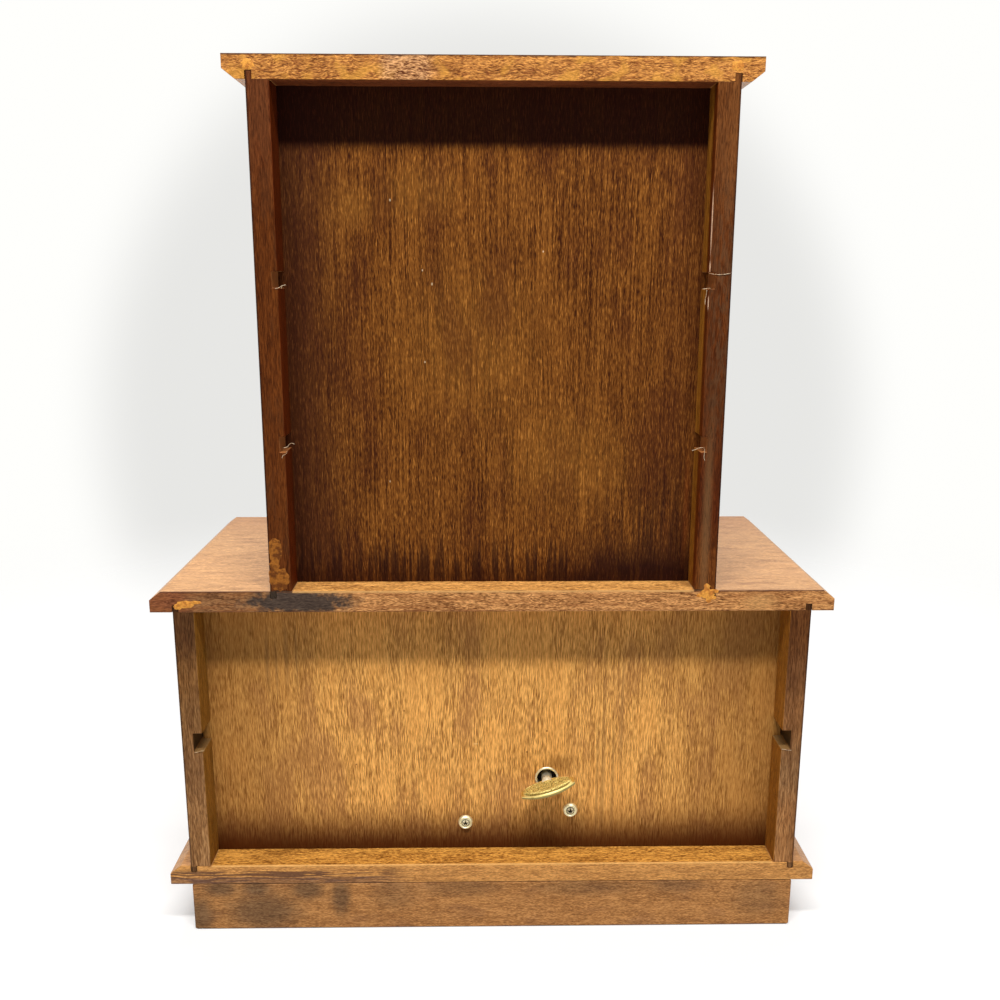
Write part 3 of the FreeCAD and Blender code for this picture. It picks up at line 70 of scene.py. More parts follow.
# Planes of the boards, sides, panels and shelves
REAR = reach("middle_board", Y)[1]
PANEL = reach("upper_back_panel", Y)[1]
UPPER_INNER, UPPER_OUTER = reach("upper_side_right", X)
LOWER_INNER, LOWER_OUTER = reach("lower_side_right", X)
BASE_LOW, BASE_HIGH = reach("base_board", Z)
MIDDLE_LOW, MIDDLE_HIGH = reach("middle_board", Z)
TOP_LOW, TOP_HIGH = reach("top_board", Z)
LOWER_SHELF = reach("lower_divider", Z)
LOWER_HOUSING_DEPTH = reach("lower_divider", X)[1] - LOWER_INNER
UPPER_SHELVES = reach("upper_dividers", Z)
UPPER_SHELF_THICKNESS = 6.5
UPPER_HOUSING_DEPTH = reach("upper_dividers", X)[1] - UPPER_INNER

# The key's plate is tilted about the arbor, in degrees, and CROWN is half its thickness in the middle
ARBOR_X = centre_of("key_eyelet", X)
ARBOR_Z = centre_of("key_eyelet", Z)
KEY_MIDDLE = centre_of("winding_key", Y)
KEY_TILT = 17.0
CROWN = 1.8
FERRULE_END = 64.1

# The two mounting screws, as x and z
SCREWS = ((12.7, 45.0), (-35.4, 50.8))


def tint(red, green, blue):
    """A colour in display values, 0 to 255, as the linear triple a shader takes."""
    def linear(value):
        share = value / 255
        return share / 12.92 if share <= 0.04045 else ((share + 0.055) / 1.055) ** 2.4
    return linear(red), linear(green), linear(blue)


def shades(middle, contrast):
    """A colour with its darker, redder shade and its paler one; contrast is between 0 and 1."""
    darker = [part * (1 - contrast * (1 + 0.12 * place)) for place, part in enumerate(middle)]
    paler = [part * (1 + contrast * (1 + 0.3 * place)) for place, part in enumerate(middle)]
    return tuple(max(part, 0.0) for part in darker), middle, tuple(paler)


# Materials: values that Python's operators can be used on, and the trees that hold them

class Value:
    """The output of a node. Python's operators on it add Math nodes."""

    def __init__(self, nodes, socket):
        self.nodes = nodes
        self.socket = socket

    def math(self, operation, first, second):
        return self.nodes.node("ShaderNodeMath", {"operation": operation}, {0: first, 1: second})

    def __add__(self, other):
        return self.math("ADD", self, other)

    def __sub__(self, other):
        return self.math("SUBTRACT", self, other)

    def __rsub__(self, other):
        return self.math("SUBTRACT", other, self)

    def __mul__(self, other):
        return self.math("MULTIPLY", self, other)

    def __truediv__(self, other):
        return self.math("DIVIDE", self, other)

    __radd__ = __add__
    __rmul__ = __mul__

    def most(self, other):
        return self.math("MAXIMUM", self, other)

    def least(self, other):
        return self.math("MINIMUM", self, other)

    def size(self):
        """The value without its sign."""
        return self.math("ABSOLUTE", self, None)

    def rise(self, low, high, start=0.0, end=1.0):
        """Goes smoothly from start to end as the value goes from low to high."""
        inputs = {"Value": self, "From Min": low, "From Max": high, "To Min": start, "To Max": end}
        return self.nodes.node("ShaderNodeMapRange", {"interpolation_type": "SMOOTHSTEP"}, inputs)


def set_stops(ramp, stops):
    """Gives a colour ramp its stops, each a position and a colour."""
    while len(ramp.elements) < len(stops):
        ramp.elements.new(0.5)
    for element, (position, colour) in zip(ramp.elements, stops):
        element.position = position
        element.color = (*colour, 1.0)


class Nodes:
    """A node tree that is filled by one method for every kind of node."""

    def __init__(self, tree):
        self.tree = tree
        self.tree.nodes.clear()

    def node(self, kind, settings=None, inputs=None, output=0):
        """Adds a node: its settings first, then the values or links of its sockets."""
        made = self.tree.nodes.new(kind)
        for name, value in (settings or {}).items():
            if name == "stops":
                set_stops(made.color_ramp, value)
            else:
                setattr(made, name, value)
        for name, value in (inputs or {}).items():
            self.feed(made.inputs[name], value)
        return Value(self, made.outputs[output]) if made.outputs else made

    def feed(self, socket, value):
        if isinstance(value, Value):
            self.tree.links.new(value.socket, socket)
        elif value is not None:
            plain = socket.type == "RGBA" and len(value) == 3
            socket.default_value = (*value, 1.0) if plain else value

    def part(self, vector, axis):
        """One coordinate of a vector."""
        return self.node("ShaderNodeSeparateXYZ", {}, {0: vector}, axis)


class Finish(Nodes):
    """A material in the making, with one Principled shader."""

    def __init__(self, name, **constants):
        self.material = bpy.data.materials.new(name)
        self.material.use_nodes = True
        super().__init__(self.material.node_tree)
        self.shader = self.tree.nodes.new("ShaderNodeBsdfPrincipled")
        output = self.tree.nodes.new("ShaderNodeOutputMaterial")
        self.tree.links.new(self.shader.outputs[0], output.inputs["Surface"])
        for name, value in constants.items():
            self.shader.inputs[name.replace("_", " ")].default_value = value
        self.place = self.node("ShaderNodeTexCoord", output="Object")

    def colours(self, value, *stops):
        """A colour ramp; each stop is a position and a colour."""
        return self.node("ShaderNodeValToRGB", {"stops": stops}, {"Fac": value})

    def wood(self, tone, middle, contrast):
        """The colour of grain: middle at a tone of 0.5, darker below it and paler above."""
        dark, middle, pale = shades(middle, contrast)
        return self.colours(tone, (0.41, dark), (0.5, middle), (0.59, pale))

    def mix(self, share, first, second, blend="MIX"):
        """Two colours mixed: the first where share is 0, the second where it is 1."""
        settings = {"data_type": "RGBA", "blend_type": blend, "clamp_factor": True}
        return self.node("ShaderNodeMix", settings, {0: share, 6: first, 7: second}, output=2)

    def shade(self, colour, amount):
        """A colour made darker or lighter by a number."""
        grey = self.node("ShaderNodeCombineColor", {}, {"Red": amount, "Green": amount, "Blue": amount})
        return self.mix(1.0, colour, grey, "MULTIPLY")

    def grain(self, along, wide, long, detail=2.0, seed=0.0, bend=None):
        """Noise drawn out along one axis. Its spots are wide by long, in millimetres."""
        scale = [1 / (wide * MM)] * 3
        scale[along] = 1 / (long * MM)
        shift = (seed, 1.7 * seed, 2.3 * seed)
        mapped = {"Vector": bend or self.place, "Scale": scale, "Location": shift}
        place = self.node("ShaderNodeMapping", {}, mapped)
        return self.node("ShaderNodeTexNoise", {}, {"Vector": place, "Scale": 1.0, "Detail": detail})

    def spots(self, size, detail=2.0, seed=0.0):
        """Noise whose spots are as long as they are wide."""
        return self.grain(X, size, size, detail, seed)

    def bent(self, size, most, seed=0.0):
        """The place on the piece, shifted this way and that by at most so many millimetres."""
        scale = 1 / (size * MM)
        mapped = {"Vector": self.place, "Scale": (scale, scale, scale), "Location": (seed, seed, seed)}
        place = self.node("ShaderNodeMapping", {}, mapped)
        noisy = {"Vector": place, "Scale": 1.0, "Detail": 1.0}
        cloud = self.node("ShaderNodeTexNoise", {}, noisy, "Color")
        less_half = {0: cloud, 1: (0.5, 0.5, 0.5)}
        centred = self.node("ShaderNodeVectorMath", {"operation": "SUBTRACT"}, less_half)
        grown = {0: centred, "Scale": 2 * most * MM}
        shift = self.node("ShaderNodeVectorMath", {"operation": "SCALE"}, grown)
        return self.node("ShaderNodeVectorMath", {"operation": "ADD"}, {0: self.place, 1: shift})

    def coordinate(self, axis):
        """One coordinate of the place, in millimetres."""
        return self.part(self.place, axis) * (1 / MM)

    def patch(self, centre, size, soft=0.5, ragged=0.0, seed=0.0):
        """1 inside an ellipsoid of the given half sizes, in millimetres, and 0 outside it."""
        scale = [1 / (half * MM) for half in size]
        shift = [-middle * MM * factor for middle, factor in zip(centre, scale)]
        mapped = {"Vector": self.place, "Scale": scale, "Location": shift}
        local = self.node("ShaderNodeMapping", {}, mapped)
        away = self.node("ShaderNodeVectorMath", {"operation": "LENGTH"}, {0: local}, "Value")
        if ragged:
            away = away + ragged * (self.spots(0.4 * min(size), 3.0, seed) - 0.5)
        return away.rise(1 + soft, 1 - soft)

    def rear_patch(self, x, z, wide, high, soft=0.5, ragged=0.0, seed=0.0):
        """A patch on the faces that look to the rear, all through the piece."""
        return self.patch((x, REAR, z), (wide, 60.0, high), soft, ragged, seed)

    def bump(self, height, depth):
        """Feeds the shader's normal from a height between 0 and 1; depth is in millimetres."""
        inputs = {"Height": height, "Distance": depth * MM, "Strength": 1.0}
        self.feed(self.shader.inputs["Normal"], self.node("ShaderNodeBump", {}, inputs))

    def set(self, **inputs):
        for name, value in inputs.items():
            self.feed(self.shader.inputs[name.replace("_", " ")], value)
        return self.material


# Veneer of the back panels

def veneer(name, middle, contrast, band, hair, gain, seed, marks):
    """A thin sheet of wood with upright fibres, hair millimetres long. band is the share of broader
    streaks in its tone, and the finest fibres have the colour under them multiplied by gain."""
    finish = Finish(name, Specular_IOR_Level=0.08)
    lean = finish.bent(90, 1.6, seed)
    cloud = finish.grain(Z, 15, 40, 3.0, seed)
    streak = finish.grain(Z, 0.7, 44, 3.0, seed + 1, lean)
    fibre = finish.grain(Z, 0.23, hair, 2.0, seed + 2, lean)
    tone = 0.16 * cloud + band * streak + (0.84 - band) * fibre
    colour = marks(finish, finish.wood(tone, middle, contrast), cloud)
    thin = finish.grain(Z, 0.3, 1.2 * hair, 1.0, seed + 3, lean).rise(0.54, 0.66)
    finish.bump(fibre, 0.05)
    grained = finish.mix(thin, colour, finish.mix(1.0, colour, gain, "MULTIPLY"))
    return finish.set(Base_Color=grained, Roughness=0.5 + 0.2 * streak)


# Marks on the panels: x, z, half width and half height in millimetres. The dark specks are round.
AMBER_CLOUDS = ((10, 262, 24, 26), (30, 323, 12, 9), (57, 317, 8, 7), (-30, 215, 22, 18))
PALE_SPECKS = (
    (25.2, 287, 0.32, 0.56), (28.5, 255.4, 0.32, 0.4), (41.6, 319.8, 0.28, 0.48),
    (29.0, 292.5, 0.24, 0.4), (-20, 300, 0.24, 0.4), (44, 205, 0.24, 0.48),
)
DARK_STREAKS = (
    (-50, 72, 1.0, 42), (-47.4, 66, 0.6, 34), (-54.5, 60, 0.7, 30), (-58, 96, 0.6, 26),
    (100, 124, 0.9, 12), (96, 120, 0.6, 12), (91.5, 126, 0.9, 14), (87, 128, 0.6, 14),
)
DARK_SPECKS = ((-15.3, 79.7, 0.45), (-24.2, 89.9, 0.45), (40, 100, 0.35), (62, 74, 0.35), (-88, 92, 0.4))


def upper_marks(finish, colour, cloud):
    across = finish.coordinate(X)
    up = finish.coordinate(Z)
    for x, z, wide, high in AMBER_CLOUDS:
        amber = finish.rear_patch(x, z, wide, high, 0.9)
        colour = finish.mix(0.26 * amber, colour, tint(150, 96, 34))
    plum = cloud.rise(0.52, 0.36)
    colour = finish.mix(0.3 * plum, colour, tint(80, 38, 14))
    # Painted shade: darker towards both sides, where the side boards shade the panel.
    colour = finish.mix(0.8 * across.rise(48, 86), colour, tint(56, 24, 8))
    colour = finish.mix(0.34 * across.rise(-58, -84), colour, tint(70, 32, 12))
    red_streak = finish.rear_patch(-82.6, 190, 1.3, 24, 0.6)
    colour = finish.mix(0.4 * red_streak, colour, tint(132, 66, 22))
    streaky = finish.grain(Z, 1.5, 34, 2.0, 55.0).rise(0.4, 0.58)
    foot = (up + 14 * streaky).rise(188, 166) + streaky * finish.rear_patch(-66, 166, 26, 32, 0.9)
    colour = finish.mix(0.85 * foot, colour, tint(38, 13, 5))
    # Painted shadow of the top board: a near-black band across the top of the panel, which the lamp also
    # shades.
    colour = finish.mix(0.9 * up.rise(TOP_LOW - 24, TOP_LOW - 20), colour, tint(38, 8, 2))
    for x, z, wide, high in PALE_SPECKS:
        speck = finish.rear_patch(x, z, wide, high, 0.4)
        colour = finish.mix(0.6 * speck, colour, tint(214, 190, 150))
    return colour


def lower_marks(finish, colour, cloud):
    across = finish.coordinate(X)
    up = finish.coordinate(Z)
    plum = cloud.rise(0.5, 0.36)
    colour = finish.mix(0.26 * plum, colour, tint(180, 124, 80))
    amber = cloud.rise(0.5, 0.64)
    colour = finish.mix(0.26 * amber, colour, tint(228, 156, 76))
    # Painted shade: darker towards both sides, where the side boards shade the panel.
    colour = finish.mix(0.56 * across.size().rise(56, 120), colour, tint(120, 74, 28))
    # Painted shade: darker towards the top, under the overhang of the middle board.
    colour = finish.mix(0.24 * up.rise(98, 128), colour, tint(120, 84, 34))
    for x, z, wide, high in DARK_STREAKS:
        streak = finish.rear_patch(x, z, wide, high, 0.7)
        colour = finish.mix(0.42 * streak, colour, tint(112, 78, 46))
    # A soft darker patch beside and above the eyelet.
    dark_patch = finish.rear_patch(ARBOR_X - 6.1, ARBOR_Z + 6.5, 6.0, 4.0, 0.8, 0.6)
    colour = finish.mix(0.5 * dark_patch, colour, tint(100, 58, 20))
    for x, z, size in DARK_SPECKS:
        speck = finish.rear_patch(x, z, size, size, 0.4)
        colour = finish.mix(0.8 * speck, colour, tint(96, 52, 22))
    chip = finish.rear_patch(7.8, 83.8, 1.1, 0.22, 0.4)
    colour = finish.mix(0.7 * chip, colour, tint(246, 206, 140))
    return finish.mix(0.95 * up.rise(BASE_HIGH + 26, BASE_HIGH + 1), colour, tint(72, 30, 4))


# Solid wood

def timber(name, along, seed, ripple=0.9, drawn=1.0, **constants):
    """A planed board: its finish, the tone of its grain and its dark pores. drawn lengthens the grain."""
    finish = Finish(name, **constants)
    bend = finish.bent(9, ripple, seed)
    broad = finish.grain(along, 5, 28 * drawn, 2.0, seed, bend)
    streak = finish.grain(along, 0.8, 7 * drawn, 3.0, seed + 1, bend)
    fibre = finish.grain(along, 0.27, 1.7 * drawn, 2.0, seed + 2, bend)
    tone = 0.16 * broad + 0.3 * streak + 0.54 * fibre
    pores = finish.grain(along, 0.26, 1.8 * drawn, 1.0, seed + 3, bend).rise(0.58, 0.7)
    return finish, tone, pores


def lacquered(finish, colour, tone, pores, gloss):
    """Puts pores and a thin lacquer on a wooden finish."""
    colour = finish.shade(colour, 1 - 0.4 * pores)
    finish.bump(tone - 0.6 * pores, 0.08)
    wear = finish.spots(14, 3.0, 4.0)
    return finish.set(Base_Color=colour, Roughness=0.42 + 0.2 * wear, Coat_Weight=gloss * (0.5 + wear))


def moulded_board(name, edge, face, bare, recess, heights, seed, ripple, gloss, marks):
    """A board with finished faces and a plain rear edge. The wood is also bare inside the rear recess,
    up to recess millimetres aside, and heights says where that goes from finished to bare wood."""
    finish, tone, pores = timber(name, X, seed, ripple, Specular_IOR_Level=0.15, Coat_Roughness=0.18)
    at_edge = finish.coordinate(Y).rise(REAR - 1.0, REAR - 0.5)
    plain = marks(finish, finish.wood(tone, edge, 0.7), tone)
    figure = finish.grain(X, 4.2, 14, 3.0, seed + 5)
    finished = finish.wood(0.7 * tone + 0.3 * figure, face, 0.42)
    finished = finish.mix(0.4 * figure.rise(0.5, 0.66), finished, tint(146, 98, 60))
    finished = finish.mix(finish.coordinate(Y).rise(0, -64, 0.0, 0.4), finished, tint(168, 104, 50))
    finished = finish.mix(finish.coordinate(X).rise(-92, -102, 0.0, 0.16), finished, tint(120, 86, 60))
    between = finish.coordinate(X).size().rise(recess, recess - 0.5) * finish.coordinate(Z).rise(*heights)
    in_recess = finish.coordinate(Y).rise(PANEL - 3.0, PANEL) * between
    finished = finish.mix(in_recess, finished, finish.wood(tone, bare, 0.7))
    colour = finish.mix(at_edge, finished, plain)
    plain_share = at_edge.most(in_recess)
    return lacquered(finish, colour, tone, pores * (0.4 + 0.3 * plain_share), gloss * (1 - plain_share))


def top_board_marks(finish, colour, tone):
    red = finish.grain(X, 0.5, 5, 2.0, 91.0, finish.bent(5, 1.6, 5.0)).rise(0.53, 0.62)
    colour = finish.mix(0.55 * red, colour, tint(124, 60, 26))
    yellow = finish.spots(9, 2.0, 17.0).rise(0.52, 0.66)
    colour = finish.mix(0.45 * yellow, colour, tint(222, 158, 62))
    pale = finish.rear_patch(33, 367.3, 10, 9, 0.3, 0.5)
    colour = finish.mix(0.55 * pale, colour, finish.wood(tone, tint(186, 138, 96), 0.9))
    worn = finish.coordinate(Z) + 1.4 * finish.spots(4, 3.0, 8.0)
    return finish.mix(0.85 * worn.rise(TOP_HIGH - 0.1, TOP_HIGH + 0.5), colour, tint(66, 36, 22))


def middle_board_marks(finish, colour, tone):
    across = finish.coordinate(X)
    up = finish.coordinate(Z)
    umber = across.rise(88, 112)
    colour = finish.mix(0.8 * umber, colour, finish.wood(tone, tint(114, 74, 44), 0.55))
    red = across.rise(124, 134)
    colour = finish.mix(0.7 * red, colour, finish.wood(tone, tint(122, 62, 34), 0.5))
    flame = finish.grain(X, 1.4, 26, 3.0, 63.0, finish.bent(14, 1.4, 3.0)).rise(0.5, 0.62)
    colour = finish.mix(0.4 * flame, colour, tint(148, 88, 44))
    ink = finish.rear_patch(82, 156.0, 22, 5.6, 0.35, 1.2, 3.0)
    colour = finish.mix(0.95 * ink, colour, finish.wood(tone, tint(60, 50, 44), 0.3))
    pale = finish.rear_patch(-113, 155.3, 7, 3.4, 0.6, 1.0)
    colour = finish.mix(0.5 * pale, colour, tint(214, 160, 98))
    low = up + 0.8 * finish.spots(5, 3.0, 9.0)
    colour = finish.mix(0.4 * low.rise(MIDDLE_LOW + 1.2, MIDDLE_LOW + 0.7), colour, tint(90, 52, 28))
    high = up + 1.2 * finish.spots(6, 3.0, 12.0)
    colour = finish.mix(0.7 * high.rise(MIDDLE_HIGH - 0.1, MIDDLE_HIGH + 0.4), colour, tint(84, 50, 32))
    # Painted highlight: a pale line along the top arris of the rear edge inside the upper recess.
    at_top = up.rise(MIDDLE_HIGH - 0.8, MIDDLE_HIGH - 0.4)
    ledge_highlight = across.size().rise(UPPER_INNER, UPPER_INNER - 0.6) * at_top
    return finish.mix(0.7 * ledge_highlight, colour, tint(232, 176, 108))


def base_board_marks(finish, colour, tone):
    across = finish.coordinate(X)
    up = finish.coordinate(Z)
    colour = finish.mix(0.5, colour, tint(200, 140, 76))
    lines = finish.grain(X, 0.8, 40, 2.0, 77.0, finish.bent(16, 1.2, 7.0))
    dark = across.rise(30, 62, 0.12, 0.85) * up.rise(BASE_HIGH - 1.5, BASE_HIGH - 3.5)
    colour = finish.mix(dark * lines.rise(0.44, 0.54), colour, tint(92, 60, 46))
    band = across.rise(34, 60) * up.rise(BASE_LOW + 4.0, BASE_LOW + 2.6)
    colour = finish.mix(0.55 * band, colour, finish.wood(tone, tint(112, 80, 66), 0.4))
    knot = finish.rear_patch(46, 29.2, 3.6, 1.5, 0.8, 0.8)
    colour = finish.mix(0.4 * knot, colour, tint(88, 54, 34))
    # Painted highlight: a pale line along the top arris of the rear edge inside the lower recess.
    at_top = up.rise(BASE_HIGH - 0.7, BASE_HIGH - 0.3)
    ledge_highlight = across.size().rise(LOWER_INNER, LOWER_INNER - 0.6) * at_top
    colour = finish.mix(0.6 * ledge_highlight, colour, tint(232, 178, 104))
    low = up + 0.9 * finish.spots(5, 3.0, 14.0)
    return finish.mix(0.6 * low.rise(BASE_LOW + 1.0, BASE_LOW + 0.5), colour, tint(84, 54, 34))


def side_wood(name, inner, outer, rear_stops, inner_colour, golden, seed, extra):
    """A side board, finished outside. Its rear edge takes its colours from heights. Its inner face has a
    colour of its own, and golden is the share of a paler strip beside the panel."""
    finish, tone, pores = timber(name, Z, seed, 0.5, 2.2, Specular_IOR_Level=0.06, Coat_Roughness=0.3)
    up = finish.coordinate(Z)
    aside = finish.coordinate(X).size()
    colour = finish.wood(tone, rear_stops[0][1], 0.45)
    for (low, _), (high, shade) in zip(rear_stops, rear_stops[1:]):
        colour = finish.mix(up.rise(low, high), colour, finish.wood(tone, shade, 0.45))
    mottle = finish.grain(Z, 4, 22, 3.0, seed).rise(0.5, 0.62)
    colour = finish.mix(0.3 * mottle, colour, tint(84, 48, 24))
    line = aside + 0.3 * finish.spots(3, 2.0, seed)
    colour = finish.mix(0.6 * line.rise(outer - 0.75, outer - 0.35), colour, tint(42, 22, 14))
    rear_edge = finish.coordinate(Y).rise(REAR - 1.2, REAR - 0.7)
    colour = finish.mix(rear_edge, finish.wood(tone, tint(158, 98, 50), 0.5), colour)
    inward = aside.rise(inner + 0.25, inner + 0.05)
    by_panel = finish.coordinate(Y).rise(REAR - 4.0, REAR - 6.5, 0.0, golden)
    gold = finish.wood(tone, tint(152, 96, 30), 0.5)
    inside = finish.mix(by_panel, finish.wood(tone, inner_colour, 0.45), gold)
    colour = finish.mix(inward, colour, inside)
    return lacquered(finish, extra(finish, colour), tone, pores, (1 - rear_edge) * (1 - inward) * 0.4)


def housing(finish, inner, deep, level, high):
    """1 inside a shelf's housing, deep by high from a level on, and 0 on the rear edge of the side."""
    up = finish.coordinate(Z)
    height = up.rise(level - 0.15, level - 0.05) * up.rise(level + high + 0.15, level + high + 0.05)
    depth = finish.coordinate(X).size().rise(inner + deep + 0.3, inner + deep + 0.2)
    return depth * height * finish.coordinate(Y).rise(REAR - 0.1, REAR - 0.5)


def lower_side_marks(finish, colour):
    """The housing of the divider is bare on its floor and painted near-black above it, as painted shade in
    the notch, and the tongues are dark.
    """
    floor_level, ceiling = LOWER_SHELF
    up = finish.coordinate(Z)
    inside = housing(finish, LOWER_INNER, LOWER_HOUSING_DEPTH, floor_level, ceiling - floor_level)
    colour = finish.mix(0.85 * inside, colour, tint(128, 100, 60))
    # Painted shade: the housing's walls and ceiling above its floor are near-black.
    deep = inside * up.rise(floor_level + 0.35, floor_level + 1.15)
    colour = finish.mix(0.92 * deep, colour, tint(24, 14, 8))
    tongues = up.rise(MIDDLE_LOW - 0.1, MIDDLE_LOW + 0.4) + up.rise(BASE_HIGH + 0.1, BASE_HIGH - 0.4)
    return finish.mix(0.6 * tongues, colour, tint(48, 28, 16))


def upper_side_marks(finish, colour):
    """The housings of the dividers are painted paler inside, as painted light against the shade in them.
    The rear edge at
    -X is worn grey, and its inner corner is torn in three places, each given by its height and half length."""
    # Painted light: the insides of the housings are paler, to offset the shade in them.
    for level in (UPPER_SHELVES[0], UPPER_SHELVES[1] - UPPER_SHELF_THICKNESS):
        inside = housing(finish, UPPER_INNER, UPPER_HOUSING_DEPTH, level, UPPER_SHELF_THICKNESS)
        colour = finish.mix(0.9 * inside, colour, tint(178, 116, 66))
    worn = finish.patch((-88.6, REAR, 188), (1.7, 3.0, 40), 0.8, 0.6)
    colour = finish.mix(0.5 * worn, colour, tint(126, 92, 58))
    hazy = finish.patch((-90, REAR, 276), (5.0, 3.0, 50), 0.7, 0.5)
    grey = hazy * finish.grain(Z, 1.2, 5, 3.0, 19.0).rise(0.4, 0.6)
    colour = finish.mix(0.4 * grey, colour, tint(92, 68, 46))
    for level, half in ((311, 12.0), (294, 2.2), (280, 2.6)):
        torn = finish.patch((-UPPER_INNER, REAR, level), (0.28, 1.0, half), 0.3, 1.2, level)
        colour = finish.mix(0.9 * torn, colour, tint(226, 184, 150))
    foot = finish.coordinate(Z) + 2.0 * finish.spots(4, 3.0, 21.0)
    return finish.mix(foot.rise(MIDDLE_HIGH + 1.5, MIDDLE_HIGH + 0.9), colour, tint(60, 48, 38))


# Dirt on the plinth: x, z, half width and half height. Where x is more than STAINED_FROM it is darker.
SMUDGES = (
    (104, 9, 15, 9), (107, 21, 6, 4), (84, 20, 7, 5), (69, 16, 4, 9), (133, 7, 6, 9), (123, 21, 7, 4),
    (45, 17, 9, 7), (14, 20, 16, 4), (-42, 20, 22, 4), (-82, 21, 12, 4), (-120, 14, 10, 8),
)
STAINED_FROM = 50


def plinth_wood(name, along, seed):
    """Wood with broad, soft, dirty smudges."""
    finish, tone, pores = timber(name, along, seed, 0.9, 0.9, Specular_IOR_Level=0.1, Coat_Roughness=0.3)
    colour = finish.wood(tone, tint(176, 121, 67), 0.42)
    haze = finish.grain(X, 10, 24, 2.0, seed).rise(0.5, 0.68)
    colour = finish.mix(0.4 * haze, colour, finish.wood(tone, tint(142, 96, 60), 0.4))
    for number, (x, z, wide, high) in enumerate(SMUDGES):
        smudge = finish.rear_patch(x, z, wide, high, 0.6, 0.5, number)
        share = 0.8 if x > STAINED_FROM else 0.4
        colour = finish.mix(share * smudge, colour, finish.wood(tone, tint(106, 78, 52), 0.4))
    low = finish.coordinate(Z) + 0.8 * finish.spots(4, 3.0, seed)
    colour = finish.mix(0.7 * low.rise(1.3, 0.8), colour, tint(58, 46, 38))
    return lacquered(finish, colour, tone, 0.6 * pores, 0.1)


def plain_wood(name, along, middle, contrast, seed, gloss=0.0):
    finish, tone, pores = timber(name, along, seed, 0.9, Specular_IOR_Level=0.25, Coat_Roughness=0.2)
    return lacquered(finish, finish.wood(tone, middle, contrast), tone, pores, gloss)


# Fabric, metal, plastic and filler

def velvet(name, colour):
    finish = Finish(name, Sheen_Weight=0.5, Sheen_Roughness=0.4, Specular_IOR_Level=0.1)
    pile = finish.spots(0.5, 2.0, 3.0)
    brushed = finish.grain(X, 6, 26, 3.0, 9.0)
    deep = tuple(0.45 * part for part in colour)
    shade = finish.mix(0.5 * pile + 0.7 * brushed - 0.1, deep, colour)
    finish.bump(pile, 0.25)
    return finish.set(Base_Color=shade, Roughness=0.8 + 0.2 * pile)


def metal(name, colour, tarnish, roughness=0.3, seed=0.0, brushed=X, worked=None):
    """Polished metal with clouds of tarnish. worked gives the share and the colour of its dull places."""
    finish = Finish(name, Metallic=1.0, Specular_IOR_Level=0.3)
    scratches = finish.grain(brushed, 0.12, 4, 2.0, seed)
    cloud = finish.spots(2.0, 4.0, seed + 5)
    stain = cloud.rise(0.48, 0.7)
    shade = finish.mix(0.6 * stain, colour, tarnish)
    dull = 0.0
    if worked:
        dull, dark = worked(finish)
        shade = finish.mix(dull, shade, dark)
    finish.bump(scratches + 0.5 * cloud, 0.012)
    roughness = roughness + 0.14 * stain + 0.08 * scratches + 0.3 * dull
    return finish.set(Base_Color=shade, Roughness=roughness, Metallic=1 - 0.7 * dull if worked else None)


def key_faces(finish):
    """Speckled tarnish on the key inside its pale rim, painted shade under the rim, and bare steel at its
    ferrule.
    The tarnish fills an oval, 22 by 10.2 mm, that lies 0.9 mm behind the middle of the plate."""
    lean = math.radians(KEY_TILT)
    aside = finish.coordinate(X) - ARBOR_X
    over = finish.coordinate(Z) - ARBOR_Z
    height = over * math.cos(lean) + aside * math.sin(lean)
    across = (aside * math.cos(lean) - over * math.sin(lean)) / 11.0
    along = (finish.coordinate(Y) - KEY_MIDDLE - 0.9) / 5.1
    oval = (across * across + along * along).rise(1.08, 0.92)
    inside = oval * height.size().rise(CROWN - 0.02, CROWN - 0.16)
    # Painted shade: below the middle of the plate's thickness, the lower half of the rim and the underside
    # are dark olive.
    under = height.rise(0.25, 0.05)
    slope = height.size().rise(CROWN - 0.35, CROWN - 0.5)
    speckle = finish.spots(0.45, 2.0, 4.0).rise(0.47, 0.56)
    ferrule = finish.coordinate(Y).rise(FERRULE_END + 0.1, FERRULE_END - 0.1)
    steel = across.size().rise(0.2, 0.18) * ferrule
    dull = (inside * (0.5 + 0.5 * speckle.most(slope))).most(0.7 * under).most(steel)
    pale = finish.mix(slope, tint(214, 190, 104), tint(150, 126, 56))
    olive = finish.mix(speckle.most(under), pale, finish.mix(slope, tint(128, 104, 40), tint(98, 78, 28)))
    return dull, finish.mix(steel, olive, tint(214, 200, 170))


def shaded_bearing(finish):
    """Painted shade: black round the winding arbor on the bedplate, which keeps the bore of the eyelet
    dark.
    """
    return finish.patch((ARBOR_X, PANEL, ARBOR_Z), (7, 9, 7), 0.2), tint(22, 14, 10)


def grimy_shaded_screws(finish):
    """Steel in the pale cups of the two mounting screws. The dark ring round each head and the dark spot in
    its slot are dirt and painted shade of the gap and the slot.
    """
    head = 0.0
    grime_and_shade = 0.0
    for x, z in SCREWS:
        head = finish.rear_patch(x, z, 2.0, 2.0, 0.08) + head
        around = 1 - finish.rear_patch(x, z, 1.6, 1.6, 0.06)
        # Dirt and painted shade: a dark ring round the head and a dark spot in its slot.
        grime_and_shade = finish.rear_patch(x, z, 1.95, 1.95, 0.06) * around + grime_and_shade
        grime_and_shade = finish.rear_patch(x, z - 0.3, 0.8, 0.7, 0.2) + grime_and_shade
    return head.least(1.0), finish.mix(grime_and_shade.least(1.0), tint(226, 214, 178), tint(48, 40, 26))


